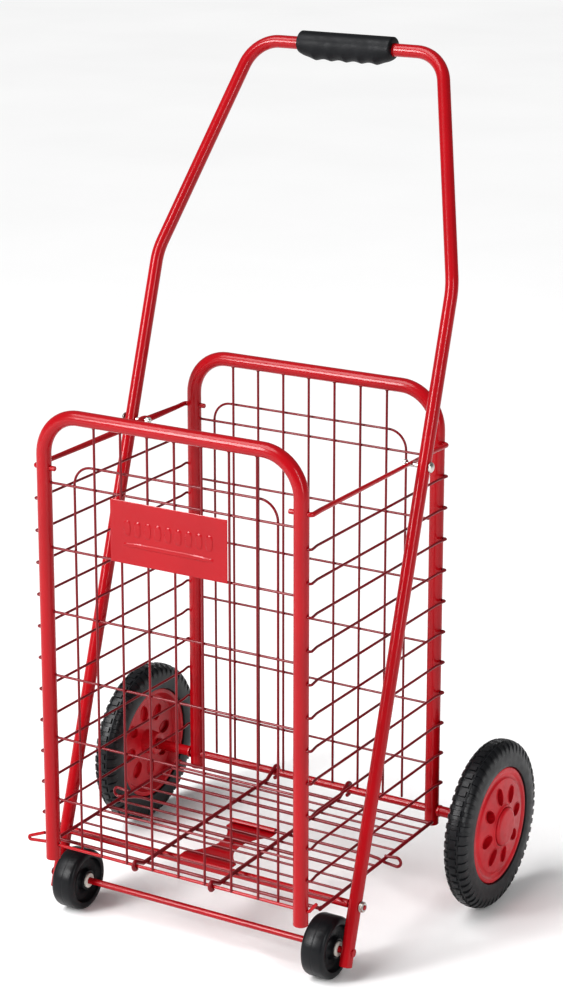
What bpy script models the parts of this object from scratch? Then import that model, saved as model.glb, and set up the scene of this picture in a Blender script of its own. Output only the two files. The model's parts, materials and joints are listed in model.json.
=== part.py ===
"""Folding rolling basket trolley: two tube frames joined by parallel side rods, a leaning handle frame
outside the basket, a floor tray, two large rear wheels and two small front wheels.

Units are metres.  +Z is up, +X is the trolley's right, and the front (nameplate, small wheels) faces -Y.
The origin is on the floor, at the middle of the trolley's outline.
"""

import math

import bmesh
import bpy
from mathutils import Vector

# Frames
WIDTH = 0.350  # between the centre lines of a frame's two legs
DEPTH = 0.326  # between the front and rear frame planes
TUBE_R = 0.009
TUBE_WALL = 0.0016
FRAME_TOP = 0.651  # centre line of the top bars
FRAME_BOTTOM = 0.087  # open lower ends of the legs
FRAME_CORNER = 0.050

# Side rods, one level above the other
LEVELS = 12
TOP_LEVEL = 0.585
LEVEL_PITCH = 0.040
ROD_R = 0.0016
TOP_ROD_R = 0.003
TOP_ROD_EYE_R = 0.0065

# Wire grids
WIRE = 0.003  # square wire of the grids and the floor
UPRIGHTS = 7
UPRIGHT_PITCH = 0.0368
CROSS_WIRES = 6
CROSS_TOP = 0.567
CROSS_PITCH = 0.0802
ARCH_HALF = 0.1385
ARCH_TOP = 0.592
ARCH_CORNER = 0.024
FRONT_UPRIGHT_OFF = 0.008  # how far the uprights and the arch are welded off the middle, to the right
FRONT_ARCH_OFF = 0.004
REAR_UPRIGHT_OFF = -0.005
REAR_ARCH_OFF = -0.0085
UPRIGHT_IN_FRONT = 0.001  # uprights lie this far in front of the frame plane
CROSS_BEHIND = 0.0011
BOTTOM_ROD_R = 0.002
BOTTOM_LOOP_X = 0.212  # tip of the loop at the bottom rod's left end
BOTTOM_LOOP_DROP = 0.0025
BOTTOM_LOOP_RISE = 0.0115
BOTTOM_HOOK_X = 0.196  # tip of the short hook at its right end
BOTTOM_HOOK_RISE = 0.0125

# Front plate
PLATE_HALF = 0.080
PLATE_LOW = 0.4865
PLATE_HIGH = 0.5625
PLATE_T = 0.0012

# Rear wheels and axle
REAR_WHEEL_R = 0.106
RIM_R = 0.073
TYRE_IN = 0.2415  # inner and outer faces of a rear tyre, along X
TYRE_OUT = 0.2725
RIM_LIP = TYRE_OUT - 0.002
CAP_SEAT = RIM_LIP + 0.0035
CAP_FACE = RIM_LIP + 0.0105
CAP_R = 0.024
AXLE_R = 0.005
AXLE_END = CAP_SEAT + 0.0020
SPACER_R = 0.0075
HUB_HOLES = 8
HUB_HOLE_RING = 0.041
HUB_HOLE_LONG = 0.0112
HUB_HOLE_WIDE = 0.0075
HUB_HOLE_PHASE = 0.2  # of the pitch between two holes
WEB_T = 0.016  # thickness of a rim's web, with pockets in both faces and a floor between them
INNER_POCKET = 0.004
POCKET_FLOOR = 0.002

# Handle frame
HANDLE_HALF = 0.207
HANDLE_R = 0.008
HANDLE_WALL = 0.0015
HANDLE_SLOPE = 0.3204  # backwards travel per unit of height below the knees
HANDLE_UPPER_SLOPE = 0.44
HANDLE_FOOT = (0.0491, 0.0205)  # behind the front plane, and above the floor
KNEE_Z = 0.788
HANDLE_TOP = 1.045
HANDLE_TOP_HALF = 0.131  # where the two upper legs' lines meet the top bar
HANDLE_CORNER = 0.045
GRIP_HALF = 0.065
GRIP_R = 0.0158
GRIP_DROP = 0.0042  # how much deeper the grip is under the tube
CROSS_ROD_Z = 0.0897
CROSS_ROD_R = 0.005
CROSS_ROD_END_R = 0.003

# Front wheels and axle
FRONT_WHEEL_R = 0.0375
FRONT_WHEEL_X = 0.178
FRONT_WHEEL_W = 0.031
WHEEL_ROUND = 0.005  # how far a front wheel's shoulder is rounded
WHEEL_RECESS = 0.0075
FRONT_AXLE_R = 0.004
AXLE_CAP_R = 0.0050
AXLE_CAP_H = 0.0011
PIVOT_BOLT_R = 0.0026
BUSH_R = 0.0090

# Floor tray and its link plate
TRAY_Z = 0.0995
TRAY_SIDE_X = 0.1872
TRAY_ROD_R = 0.00253
TRAY_SIDE_R = 0.0021
TRAY_INSET = 0.026
TRAY_FRONT_STEP = 0.0455  # thick cross rods in front of the pivot rod, and behind the front plane
TRAY_REAR_STEP = 0.236
TRAY_LOOP_OUT = 0.0215
TRAY_LOOP_R = 0.0058
LOOP_WIRE_R = 0.0017
RUNNER_X = 0.054
RUNNER_R = 0.0025
LINK_Y = 0.1810  # pivot rod of the link plate, behind the front plane
LINK_Z = 0.0990
LINK_R = 0.0022
LINK_T = 0.0012
LINK_FRONT_HALF = 0.037
LINK_REAR_HALF = 0.033
LINK_WAIST_HALF = 0.014

GAP = 0.0004  # between touching pieces
HOLE_GAP = 0.0003  # round a rod in its hole

FRONT_Y = -(DEPTH + REAR_WHEEL_R - TUBE_R) / 2
REAR_Y = FRONT_Y + DEPTH
LEG_X = WIDTH / 2
AXLE_Z = REAR_WHEEL_R
ROD_X = LEG_X + TUBE_R + GAP + ROD_R
TOP_ROD_X = LEG_X + TUBE_R + GAP + TOP_ROD_R


def handle_y(z):
    """Y of the handle frame's centre line below its knees."""
    return FRONT_Y + HANDLE_FOOT[0] + HANDLE_SLOPE * (z - HANDLE_FOOT[1])


HANDLE_PIVOT = (handle_y(TOP_LEVEL), TOP_LEVEL)
CROSS_ROD = (handle_y(CROSS_ROD_Z), CROSS_ROD_Z)
FRONT_AXLE = (handle_y(FRONT_WHEEL_R), FRONT_WHEEL_R)
LINK_PIVOT = (FRONT_Y + LINK_Y, LINK_Z)

for old in list(bpy.data.objects):
    bpy.data.objects.remove(old, do_unlink=True)


def material(name, colour, roughness, metallic=0.0):
    made = bpy.data.materials.new(name)
    made.use_nodes = True
    shader = made.node_tree.nodes["Principled BSDF"]
    shader.inputs["Base Color"].default_value = (*colour, 1.0)
    shader.inputs["Roughness"].default_value = roughness
    shader.inputs["Metallic"].default_value = metallic
    return made


ENAMEL = material("red_enamel", (0.60, 0.012, 0.020), 0.28)
STEEL = material("zinc_steel", (0.55, 0.54, 0.52), 0.35, 1.0)
RUBBER = material("black_rubber", (0.018, 0.018, 0.020), 0.65)
HARD_BLACK = material("black_moulding", (0.012, 0.013, 0.016), 0.40)
HARD_RED = material("red_moulding", (0.55, 0.014, 0.022), 0.40)
NYLON = material("grey_nylon", (0.45, 0.44, 0.42), 0.50)


# Shape helpers


def empty_at(name, y, z):
    """A parent empty on a joint axis, which runs along X through (y, z)."""
    made = bpy.data.objects.new(name, None)
    made.location = (0.0, y, z)
    bpy.context.scene.collection.objects.link(made)
    return made


def finish(name, shape, look, parent=None):
    """Turns a bmesh into a named object, under its joint's empty if it has one."""
    bmesh.ops.recalc_face_normals(shape, faces=shape.faces)
    mesh = bpy.data.meshes.new(name)
    shape.to_mesh(mesh)
    shape.free()
    made = bpy.data.objects.new(name, mesh)
    bpy.context.scene.collection.objects.link(made)
    if look:
        made.data.materials.append(look)
        mesh.shade_smooth()
        mesh.set_sharp_from_angle(angle=math.radians(35))
    if parent:
        made.parent = parent
        made.matrix_parent_inverse.translation = -parent.location
    return made


def cut(target, cutter, operation="DIFFERENCE"):
    """Joins or cuts the target with a helper object, which is not a piece of the trolley."""
    cutter.hide_render = True
    cutter.display_type = "WIRE"
    change = target.modifiers.new(operation.lower(), "BOOLEAN")
    change.operation = operation
    change.solver = "EXACT"
    change.object = cutter


def ring_of(centre, side, up, radius, sides, turn=0.0):
    angles = [turn + 2 * math.pi * k / sides for k in range(sides)]
    return [centre + radius * (math.cos(a) * side + math.sin(a) * up) for a in angles]


def sweep(shape, path, radius, sides, inner=0.0, turn=0.0):
    """Adds a round rod along the path, or a tube with open ends if inner is set."""
    path = [Vector(p) for p in path]
    first = (path[1] - path[0]).normalized()
    side = first.orthogonal().normalized()
    if abs(first.x) < 0.9:
        side = (Vector((1, 0, 0)) - first * first.x).normalized()
    outer_rings = []
    inner_rings = []
    heading = first
    for k, point in enumerate(path):
        before = (point - path[k - 1]).normalized() if k else first
        after = (path[k + 1] - point).normalized() if k + 1 < len(path) else before
        tangent = (before + after).normalized()
        side = heading.rotation_difference(tangent) @ side
        heading = tangent
        up = tangent.cross(side)
        # a mitre keeps the round section where the path bends
        bend = before.cross(after)
        stretch = 1.0 / max(before.dot(tangent), 0.3)
        for rings, size in ((outer_rings, radius), (inner_rings, inner)):
            points = ring_of(point, side, up, size, sides, turn)
            if bend.length > 1e-5:
                out = bend.normalized().cross(tangent).normalized()
                points = [p + out * (p - point).dot(out) * (stretch - 1.0) for p in points]
            rings.append([shape.verts.new(p) for p in points] if size else [])
    for rings in (outer_rings, inner_rings) if inner else (outer_rings,):
        for one, two in zip(rings, rings[1:]):
            for k in range(sides):
                n = (k + 1) % sides
                shape.faces.new((one[k], one[n], two[n], two[k]))
    for end in (0, -1):
        if not inner:
            shape.faces.new(outer_rings[end])
            continue
        for k in range(sides):
            n = (k + 1) % sides
            shape.faces.new((outer_rings[end][k], outer_rings[end][n],
                             inner_rings[end][n], inner_rings[end][k]))


def arc(centre, radius, start, stop, steps, plane, fixed):
    """Points on an arc in the XZ or the YZ plane; angles in degrees from +X or +Y towards +Z."""
    points = []
    for k in range(steps + 1):
        a = math.radians(start + (stop - start) * k / steps)
        across = centre[0] + radius * math.cos(a)
        high = centre[1] + radius * math.sin(a)
        points.append((across, fixed, high) if plane == "xz" else (fixed, across, high))
    return points


def box(shape, low, high):
    """Adds a plain block between two corners."""
    made = bmesh.ops.create_cube(shape, size=1.0)["verts"]
    low, high = Vector(low), Vector(high)
    for vert in made:
        vert.co = Vector(lo + (c + 0.5) * (hi - lo) for lo, hi, c in zip(low, high, vert.co))


def turned(shape, profile, y, z, sides, facet_down=False):
    """Adds a ring or disc turned about the X direction through (y, z).

    The profile is a closed outline of (x, radius) points; points at radius 0 close it on the axis.
    """
    offset = 0.5 if facet_down else 0.0
    grow = 1 / math.cos(math.pi / sides) if facet_down else 1.0
    rings = []
    for x, radius in profile:
        if radius < 1e-7:
            rings.append([shape.verts.new((x, y, z))] * sides)
            continue
        ring = []
        for k in range(sides):
            a = 2 * math.pi * (k + offset) / sides
            size = radius * grow
            ring.append(shape.verts.new((x, y + size * math.cos(a), z + size * math.sin(a))))
        rings.append(ring)
    for one, two in zip(rings, rings[1:] + rings[:1]):
        for k in range(sides):
            n = (k + 1) % sides
            corners = []
            for vert in (one[k], one[n], two[n], two[k]):
                if vert not in corners:
                    corners.append(vert)
            if len(corners) > 2:
                shape.faces.new(corners)


def disc_x(shape, x_a, x_b, y, z, radius, sides):
    """Adds a solid round bar along X."""
    turned(shape, [(x_a, 0), (x_a, radius), (x_b, radius), (x_b, 0)], y, z, sides)


def level_z(level):
    return TOP_LEVEL - LEVEL_PITCH * level


# Tube frames and their grids


def frame_tube(name, y, axle_hole):
    """An upside-down U of tube with open lower ends, drilled for the side rods and the bottom rod or axle."""
    shape = bmesh.new()
    turn_x = LEG_X - FRAME_CORNER
    turn_z = FRAME_TOP - FRAME_CORNER
    path = [(-LEG_X, y, FRAME_BOTTOM)]
    path += arc((-turn_x, turn_z), FRAME_CORNER, 180, 90, 4, "xz", y)
    path += arc((turn_x, turn_z), FRAME_CORNER, 90, 0, 4, "xz", y)
    path.append((LEG_X, y, FRAME_BOTTOM))
    sweep(shape, path, TUBE_R, 10, TUBE_R - TUBE_WALL, math.pi / 10)
    tube = finish(name, shape, ENAMEL)
    holes = bmesh.new()
    beyond = 1.3 * TUBE_R
    for side in (-1, 1):
        for level in range(LEVELS):
            radius = (TOP_ROD_R if level == 0 else ROD_R) + HOLE_GAP
            reach = -beyond if level == 0 else 0.0
            sides = 12 if level == 0 else 6
            disc_x(holes, side * (LEG_X + reach), side * (LEG_X + beyond), y, level_z(level), radius, sides)
        disc_x(holes, side * (LEG_X - beyond), side * (LEG_X + beyond), y, AXLE_Z, axle_hole + HOLE_GAP, 12)
    cut(tube, finish(name + "_holes", holes, None))
    return tube


def grid(name, y, front):
    """Uprights, cross wires and an inner arch, welded into one grid."""
    leg_face = LEG_X - TUBE_R - HOLE_GAP
    top = FRAME_TOP - TUBE_R - HOLE_GAP
    low = AXLE_Z if front else AXLE_Z + AXLE_R + 2 * GAP
    half = WIRE / 2
    uprights = bmesh.new()
    for k in range(UPRIGHTS):
        x = UPRIGHT_PITCH * (k - (UPRIGHTS - 1) / 2) + (FRONT_UPRIGHT_OFF if front else REAR_UPRIGHT_OFF)
        near = y - UPRIGHT_IN_FRONT - half
        box(uprights, (x - half, near, low - 0.0003), (x + half, near + WIRE, top))
    made = finish(name, uprights, ENAMEL)
    cross = bmesh.new()
    for k in range(CROSS_WIRES):
        z = CROSS_TOP - CROSS_PITCH * k
        near = y + CROSS_BEHIND - half
        box(cross, (-leg_face, near, z - half), (leg_face, near + WIRE, z + half))
    cut(made, finish(name + "_cross", cross, None), "UNION")
    arch = bmesh.new()
    turn_x = ARCH_HALF - ARCH_CORNER
    turn_z = ARCH_TOP - ARCH_CORNER
    off = FRONT_ARCH_OFF if front else REAR_ARCH_OFF
    path = [(off - ARCH_HALF, y + 0.0002, low - 0.0003)]
    path += arc((off - turn_x, turn_z), ARCH_CORNER, 180, 90, 4, "xz", y + 0.0002)
    path += arc((off + turn_x, turn_z), ARCH_CORNER, 90, 0, 4, "xz", y + 0.0002)
    path.append((off + ARCH_HALF, y + 0.0002, low - 0.0003))
    sweep(arch, path, half * math.sqrt(2), 4, 0.0, math.pi / 4)
    cut(made, finish(name + "_arch", arch, None), "UNION")
    if front:
        base = bmesh.new()
        tip = -BOTTOM_LOOP_X + BOTTOM_ROD_R
        leg_side = LEG_X + TUBE_R
        bend = 1.5 * BOTTOM_ROD_R
        low = AXLE_Z - BOTTOM_LOOP_DROP
        path = [(-leg_side - 0.003, y, AXLE_Z + BOTTOM_LOOP_RISE)]
        path += [(tip + bend, y, low + 1.7 * bend), (tip, y, low + 0.9 * bend)]
        path += [(tip + bend, y, low), (-leg_side - 0.003, y, AXLE_Z)]
        path += [(leg_side + 0.001, y, AXLE_Z), (leg_side + 0.005, y, AXLE_Z + 0.002)]
        path.append((BOTTOM_HOOK_X, y, AXLE_Z + BOTTOM_HOOK_RISE))
        sweep(base, path, BOTTOM_ROD_R, 6)
        cut(made, finish(name + "_base", base, None), "UNION")
    return made


frame_tube("rear_tube", REAR_Y, AXLE_R)
grid("rear_grid", REAR_Y, front=False)
frame_tube("front_tube", FRONT_Y, BOTTOM_ROD_R)
grid("front_grid", FRONT_Y, front=True)

name_plate = bmesh.new()
plate_y = FRONT_Y - UPRIGHT_IN_FRONT - WIRE / 2 - GAP
box(name_plate, (-PLATE_HALF, plate_y - PLATE_T, PLATE_LOW), (PLATE_HALF, plate_y, PLATE_HIGH))
finish("name_plate", name_plate, ENAMEL)


# Side rods: each hooks into both frames, so every level is one parallel link of the fold


def side_rod(name, side, level, parent):
    thick = level == 0
    radius = TOP_ROD_R if thick else ROD_R
    x = TOP_ROD_X if thick else ROD_X
    inner_x = LEG_X - 0.016 if thick else LEG_X + 0.003
    z = level_z(level)
    bend = 0.4 * radius
    path = [(inner_x, FRONT_Y, z), (x - bend, FRONT_Y, z), (x, FRONT_Y + bend, z)]
    path += [(x, REAR_Y - bend, z), (x - bend, REAR_Y, z), (inner_x, REAR_Y, z)]
    shape = bmesh.new()
    if thick:
        sweep(shape, path, radius, 8)
    else:
        sweep(shape, path, radius, 6, 0.0, math.pi / 6)
    for vert in shape.verts:
        vert.co.x *= side
    rod = finish(name, shape, ENAMEL, parent)
    if thick:
        eye = bmesh.new()
        disc_x(eye, side * (x - 0.002), side * (x + 0.0022), *HANDLE_PIVOT, TOP_ROD_EYE_R, 12)
        cut(rod, finish(name + "_eye", eye, None), "UNION")
        hole = bmesh.new()
        disc_x(hole, side * (x - 0.01), side * (x + 0.01), *HANDLE_PIVOT, PIVOT_BOLT_R + HOLE_GAP, 12)
        cut(rod, finish(name + "_hole", hole, None))


for level in range(LEVELS):
    pivot = empty_at(f"link_{level + 1:02d}_pivot", REAR_Y, level_z(level))
    for word, side in (("left", -1), ("right", 1)):
        side_rod(f"side_rod_{level + 1:02d}_{word}", side, level, pivot)


# Rear axle and wheels


axle = bmesh.new()
disc_x(axle, -AXLE_END, AXLE_END, REAR_Y, AXLE_Z, AXLE_R, 12)
finish("rear_axle", axle, ENAMEL)

HUB_IN = TYRE_IN - 0.004
SPACER_IN = LEG_X + TUBE_R + GAP


def oval_prism(shape, k, x_from, x_to):
    """Adds a prism along X with the outline of the k-th oval pocket of a rim."""
    a = 2 * math.pi * (k + HUB_HOLE_PHASE) / HUB_HOLES
    out = Vector((0, math.cos(a), math.sin(a)))
    along = Vector((0, -math.sin(a), math.cos(a)))
    centre = Vector((0, REAR_Y, AXLE_Z)) + out * HUB_HOLE_RING
    near, far = [], []
    for n in range(8):
        b = 2 * math.pi * (n + 0.5) / 8
        edge = centre + out * HUB_HOLE_LONG * math.cos(b) + along * HUB_HOLE_WIDE * math.sin(b)
        near.append(shape.verts.new(edge + Vector((x_from, 0, 0))))
        far.append(shape.verts.new(edge + Vector((x_to, 0, 0))))
    shape.faces.new(near)
    shape.faces.new(far)
    for n in range(8):
        m = (n + 1) % 8
        shape.faces.new((near[n], near[m], far[m], far[n]))


def rear_wheel(word, side):
    """Spacer on the axle, then a turned rim with oval pockets in both faces, its tyre and the hub cap."""
    spacer = bmesh.new()
    bore = AXLE_R + HOLE_GAP
    turned(spacer, [(side * SPACER_IN, bore), (side * SPACER_IN, SPACER_R),
                    (side * (HUB_IN - GAP), SPACER_R), (side * (HUB_IN - GAP), bore)], REAR_Y, AXLE_Z, 12)
    finish(f"axle_spacer_{word}", spacer, ENAMEL)
    pivot = empty_at(f"rear_wheel_{word}_pivot", REAR_Y, AXLE_Z)
    rim = bmesh.new()
    lip = RIM_LIP
    pocket = CAP_R + 0.0005
    web = lip - WEB_T
    outline = [(HUB_IN, bore), (HUB_IN, 0.014), (web, 0.0165), (web, RIM_R - 0.011),
               (TYRE_IN + 0.003, RIM_R - 0.0055),
               (TYRE_IN + 0.003, RIM_R), (lip, RIM_R), (lip, RIM_R - 0.0055), (lip - 0.002, RIM_R - 0.0075),
               (lip - 0.002, RIM_R - 0.0115), (lip + 0.0012, RIM_R - 0.014), (lip + 0.006, 0.027),
               (lip + 0.006, pocket), (CAP_SEAT, pocket), (CAP_SEAT, bore)]
    turned(rim, [(side * x, r) for x, r in outline], REAR_Y, AXLE_Z, 24)
    rim = finish(f"rear_rim_{word}", rim, HARD_RED, pivot)
    pockets = bmesh.new()
    for k in range(HUB_HOLES):
        oval_prism(pockets, k, side * (lip - WEB_T + INNER_POCKET + POCKET_FLOOR), side * (CAP_FACE + 0.01))
        oval_prism(pockets, k, side * (TYRE_IN - 0.001), side * (lip - WEB_T + INNER_POCKET))
    cut(rim, finish(f"rear_rim_{word}_pockets", pockets, None))
    tyre = bmesh.new()
    inside = RIM_R + HOLE_GAP
    outline = [(TYRE_IN, inside), (TYRE_IN, REAR_WHEEL_R - 0.012), (TYRE_IN + 0.005, REAR_WHEEL_R - 0.002),
               (TYRE_IN + 0.008, REAR_WHEEL_R), (TYRE_OUT - 0.008, REAR_WHEEL_R),
               (TYRE_OUT - 0.005, REAR_WHEEL_R - 0.002), (TYRE_OUT, REAR_WHEEL_R - 0.012), (TYRE_OUT, inside)]
    turned(tyre, [(side * x, r) for x, r in outline], REAR_Y, AXLE_Z, 32, facet_down=True)
    finish(f"rear_tyre_{word}", tyre, RUBBER, pivot)
    cap = bmesh.new()
    cap_in = CAP_SEAT + GAP
    outline = [(AXLE_END + HOLE_GAP, 0), (AXLE_END + HOLE_GAP, bore), (cap_in, bore), (cap_in, CAP_R),
               (CAP_FACE - 0.0020, CAP_R), (CAP_FACE - 0.0006, CAP_R - 0.002), (CAP_FACE, CAP_R - 0.006),
               (CAP_FACE, 0)]
    turned(cap, [(side * x, r) for x, r in outline], REAR_Y, AXLE_Z, 24)
    finish(f"hub_cap_{word}", cap, HARD_RED, pivot)


for word, side in (("left", -1), ("right", 1)):
    rear_wheel(word, side)


# Floor tray: a wire grid on two runner rods, whose hooked ends turn on the front bottom rod and rear axle


def hook_path(x, reach_front, reach_rear):
    """A runner rod's centre line, with a hook over the bottom rod and a hook over the rear axle."""
    run_z = TRAY_Z + WIRE / 2 + RUNNER_R - 0.0009
    path = arc((FRONT_Y, AXLE_Z), reach_front, 300, 90, 6, "yz", x)
    path += [(x, FRONT_Y + TRAY_INSET - 0.010, run_z), (x, REAR_Y - TRAY_INSET + 0.004, run_z)]
    path += arc((REAR_Y, AXLE_Z), reach_rear, 100, -110, 6, "yz", x)
    return path


tray_pivot = empty_at("tray_pivot", REAR_Y, AXLE_Z)
tray_wires = bmesh.new()
tray_front = FRONT_Y + TRAY_INSET
tray_rear = REAR_Y - TRAY_INSET
tray_mid_front = LINK_PIVOT[0] - TRAY_FRONT_STEP
tray_mid_rear = FRONT_Y + TRAY_REAR_STEP
for y in (tray_front, tray_mid_front, tray_mid_rear, tray_rear):
    path = [(-TRAY_SIDE_X - 0.001, y, TRAY_Z), (TRAY_SIDE_X + 0.001, y, TRAY_Z)]
    sweep(tray_wires, path, TRAY_ROD_R, 6)
path = [(-TRAY_SIDE_X - 0.001, LINK_PIVOT[0], LINK_Z), (TRAY_SIDE_X + 0.001, LINK_PIVOT[0], LINK_Z)]
sweep(tray_wires, path, LINK_R, 6)
thin_gaps = ((tray_front, tray_mid_front, 3), (tray_mid_front, LINK_PIVOT[0], 1),
             (LINK_PIVOT[0], tray_mid_rear, 1), (tray_mid_rear, tray_rear, 2))
for start, stop, count in thin_gaps:
    for k in range(count):
        y = start + (stop - start) * (k + 1) / (count + 1)
        low_corner = (-TRAY_SIDE_X, y - WIRE / 2, TRAY_Z - WIRE / 2)
        box(tray_wires, low_corner, (TRAY_SIDE_X, y + WIRE / 2, TRAY_Z + WIRE / 2))
tray = finish("floor_tray", tray_wires, ENAMEL, tray_pivot)
tray_length = bmesh.new()
for side in (-1, 1):
    x = side * TRAY_SIDE_X
    beyond = 0.003
    side_z = TRAY_Z + 0.0006
    path = [(x, tray_front - beyond, side_z), (x, tray_rear + beyond, side_z)]
    sweep(tray_length, path, TRAY_SIDE_R, 6)
    reach = BOTTOM_ROD_R + GAP + RUNNER_R
    sweep(tray_length, hook_path(side * RUNNER_X, reach, AXLE_R + GAP + RUNNER_R), RUNNER_R, 6)
    loop_y = LINK_PIVOT[0]
    turn_x = TRAY_SIDE_X + TRAY_LOOP_OUT - TRAY_LOOP_R
    path = [(x - side * 0.010, loop_y, LINK_Z - 0.001)]
    path += arc((side * turn_x, LINK_Z), TRAY_LOOP_R, -90, 90 if side > 0 else -270, 4, "xz", loop_y)
    path.append((x - side * 0.001, loop_y, side_z + TRAY_SIDE_R))
    loop = bmesh.new()
    sweep(loop, path, LOOP_WIRE_R, 6)
    cut(tray, finish(f"floor_tray_loop_{'left' if side < 0 else 'right'}", loop, None), "UNION")
cut(tray, finish("floor_tray_length", tray_length, None), "UNION")


# Link plate: a waisted sheet that turns on the tray's middle rod and rests on the handle's cross rod


def link_plate():
    pivot = empty_at("link_plate_pivot", *LINK_PIVOT)
    front_reach = CROSS_ROD_R + GAP + LINK_T / 2
    rear_reach = LINK_R + GAP + LINK_T / 2
    rows = []
    for k in range(5):
        a = math.radians(215 - (215 - 90) * k / 4)
        rows.append((CROSS_ROD[0] + front_reach * math.cos(a), CROSS_ROD[1] + front_reach * math.sin(a),
                     LINK_FRONT_HALF, a))
    sheet_z = LINK_Z - rear_reach
    for share in (0.12, 0.28, 0.42, 0.58, 0.72, 0.88):
        y = CROSS_ROD[0] + (LINK_PIVOT[0] - CROSS_ROD[0]) * share
        flank = abs(share - 0.5) * 2
        wide = LINK_FRONT_HALF if share < 0.5 else LINK_REAR_HALF
        half = LINK_WAIST_HALF + (wide - LINK_WAIST_HALF) * min(1.0, (flank / 0.76) ** 2.2)
        z = CROSS_ROD[1] + front_reach + (sheet_z - CROSS_ROD[1] - front_reach) * share
        rows.append((y, z, half, math.pi / 2))
    for k in range(6):
        a = math.radians(-90 + 270 * k / 5)
        rows.append((LINK_PIVOT[0] + rear_reach * math.cos(a), LINK_PIVOT[1] + rear_reach * math.sin(a),
                     LINK_REAR_HALF, a + math.pi))
    shape = bmesh.new()
    loops = []
    for y, z, half, a in rows:
        dy, dz = math.cos(a) * LINK_T / 2, math.sin(a) * LINK_T / 2
        loops.append([shape.verts.new(p) for p in ((-half, y + dy, z + dz), (half, y + dy, z + dz),
                                                   (half, y - dy, z - dz), (-half, y - dy, z - dz))])
    for one, two in zip(loops, loops[1:]):
        for k in range(4):
            n = (k + 1) % 4
            shape.faces.new((one[k], one[n], two[n], two[k]))
    shape.faces.new(loops[0])
    shape.faces.new(loops[-1])
    finish("link_plate", shape, ENAMEL, pivot)


link_plate()


# Handle frame


def handle_path():
    """Centre line of one long U: straight legs, knees, converging upper legs and a level top bar."""
    foot_y = FRONT_Y + HANDLE_FOOT[0]
    knee_y = handle_y(KNEE_Z)
    top_y = knee_y + HANDLE_UPPER_SLOPE * (HANDLE_TOP - KNEE_Z)
    foot = Vector((HANDLE_HALF, foot_y, HANDLE_FOOT[1]))
    knee = Vector((HANDLE_HALF, knee_y, KNEE_Z))
    corner = Vector((HANDLE_TOP_HALF, top_y, HANDLE_TOP))
    middle = Vector((0, top_y, HANDLE_TOP))
    half = [foot]
    half += fillet(foot, knee, corner, 0.10, 2)
    half += fillet(knee, corner, middle, HANDLE_CORNER, 4)
    return half + [Vector((-p.x, p.y, p.z)) for p in reversed(half)]


def fillet(before, at, after, radius, steps):
    """Points on a round corner between two straight runs."""
    one = (before - at).normalized()
    two = (after - at).normalized()
    half_angle = one.angle(two) / 2
    centre = at + (one + two).normalized() * (radius / math.sin(half_angle))
    start = at + one * (radius / math.tan(half_angle)) - centre
    stop = at + two * (radius / math.tan(half_angle)) - centre
    return [centre + start.slerp(stop, k / steps).normalized() * radius for k in range(steps + 1)]


handle_pivot = empty_at("handle_pivot", *HANDLE_PIVOT)
tube_shape = bmesh.new()
sweep(tube_shape, handle_path(), HANDLE_R, 10, HANDLE_R - HANDLE_WALL, math.pi / 10)
handle = finish("handle_tube", tube_shape, ENAMEL, handle_pivot)
drilled = bmesh.new()
reach = 1.4 * HANDLE_R
for side in (-1, 1):
    passing = ((HANDLE_PIVOT, PIVOT_BOLT_R), (CROSS_ROD, CROSS_ROD_END_R), (FRONT_AXLE, FRONT_AXLE_R))
    for (y, z), radius in passing:
        near = side * (HANDLE_HALF - reach)
        disc_x(drilled, near, side * (HANDLE_HALF + reach), y, z, radius + HOLE_GAP, 10)
cut(handle, finish("handle_tube_holes", drilled, None))

grip_y = handle_y(KNEE_Z) + HANDLE_UPPER_SLOPE * (HANDLE_TOP - KNEE_Z)


def grip_ring(x, shrink=0.0):
    """Points round the grip at x: round above the tube and deeper below it."""
    points = []
    for k in range(20):
        a = 2 * math.pi * k / 20
        radius = GRIP_R - shrink + GRIP_DROP * max(0.0, -math.sin(a)) ** 2
        points.append((x, grip_y + radius * math.cos(a), HANDLE_TOP + radius * math.sin(a)))
    return points


def grip_moulding():
    shape = bmesh.new()
    bore = HANDLE_R + HOLE_GAP
    chamfer = 0.002
    rows = [grip_ring(-GRIP_HALF, chamfer), grip_ring(-GRIP_HALF + chamfer), grip_ring(GRIP_HALF - chamfer),
            grip_ring(GRIP_HALF, chamfer)]
    for x in (GRIP_HALF, -GRIP_HALF):
        angles = [2 * math.pi * k / 20 for k in range(20)]
        rows.append([(x, grip_y + bore * math.cos(a), HANDLE_TOP + bore * math.sin(a)) for a in angles])
    rings = [[shape.verts.new(point) for point in row] for row in rows]
    for one, two in zip(rings, rings[1:] + rings[:1]):
        for k in range(20):
            n = (k + 1) % 20
            shape.faces.new((one[k], one[n], two[n], two[k]))
    finish("grip", shape, HARD_BLACK, handle_pivot)


grip_moulding()

cross = bmesh.new()
shoulder = HANDLE_HALF - HANDLE_R - GAP
cross_end = HANDLE_HALF + HANDLE_R + 0.006
turned(cross, [(-cross_end, 0), (-cross_end, CROSS_ROD_END_R), (-shoulder, CROSS_ROD_END_R),
               (-shoulder, CROSS_ROD_R), (shoulder, CROSS_ROD_R), (shoulder, CROSS_ROD_END_R),
               (cross_end, CROSS_ROD_END_R), (cross_end, 0)], *CROSS_ROD, 12)
finish("cross_rod", cross, ENAMEL, handle_pivot)

front_axle = bmesh.new()
axle_end = HANDLE_HALF + HANDLE_R + 0.0002
disc_x(front_axle, -axle_end, axle_end, *FRONT_AXLE, FRONT_AXLE_R, 12)
finish("front_axle", front_axle, ENAMEL, handle_pivot)


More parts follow.
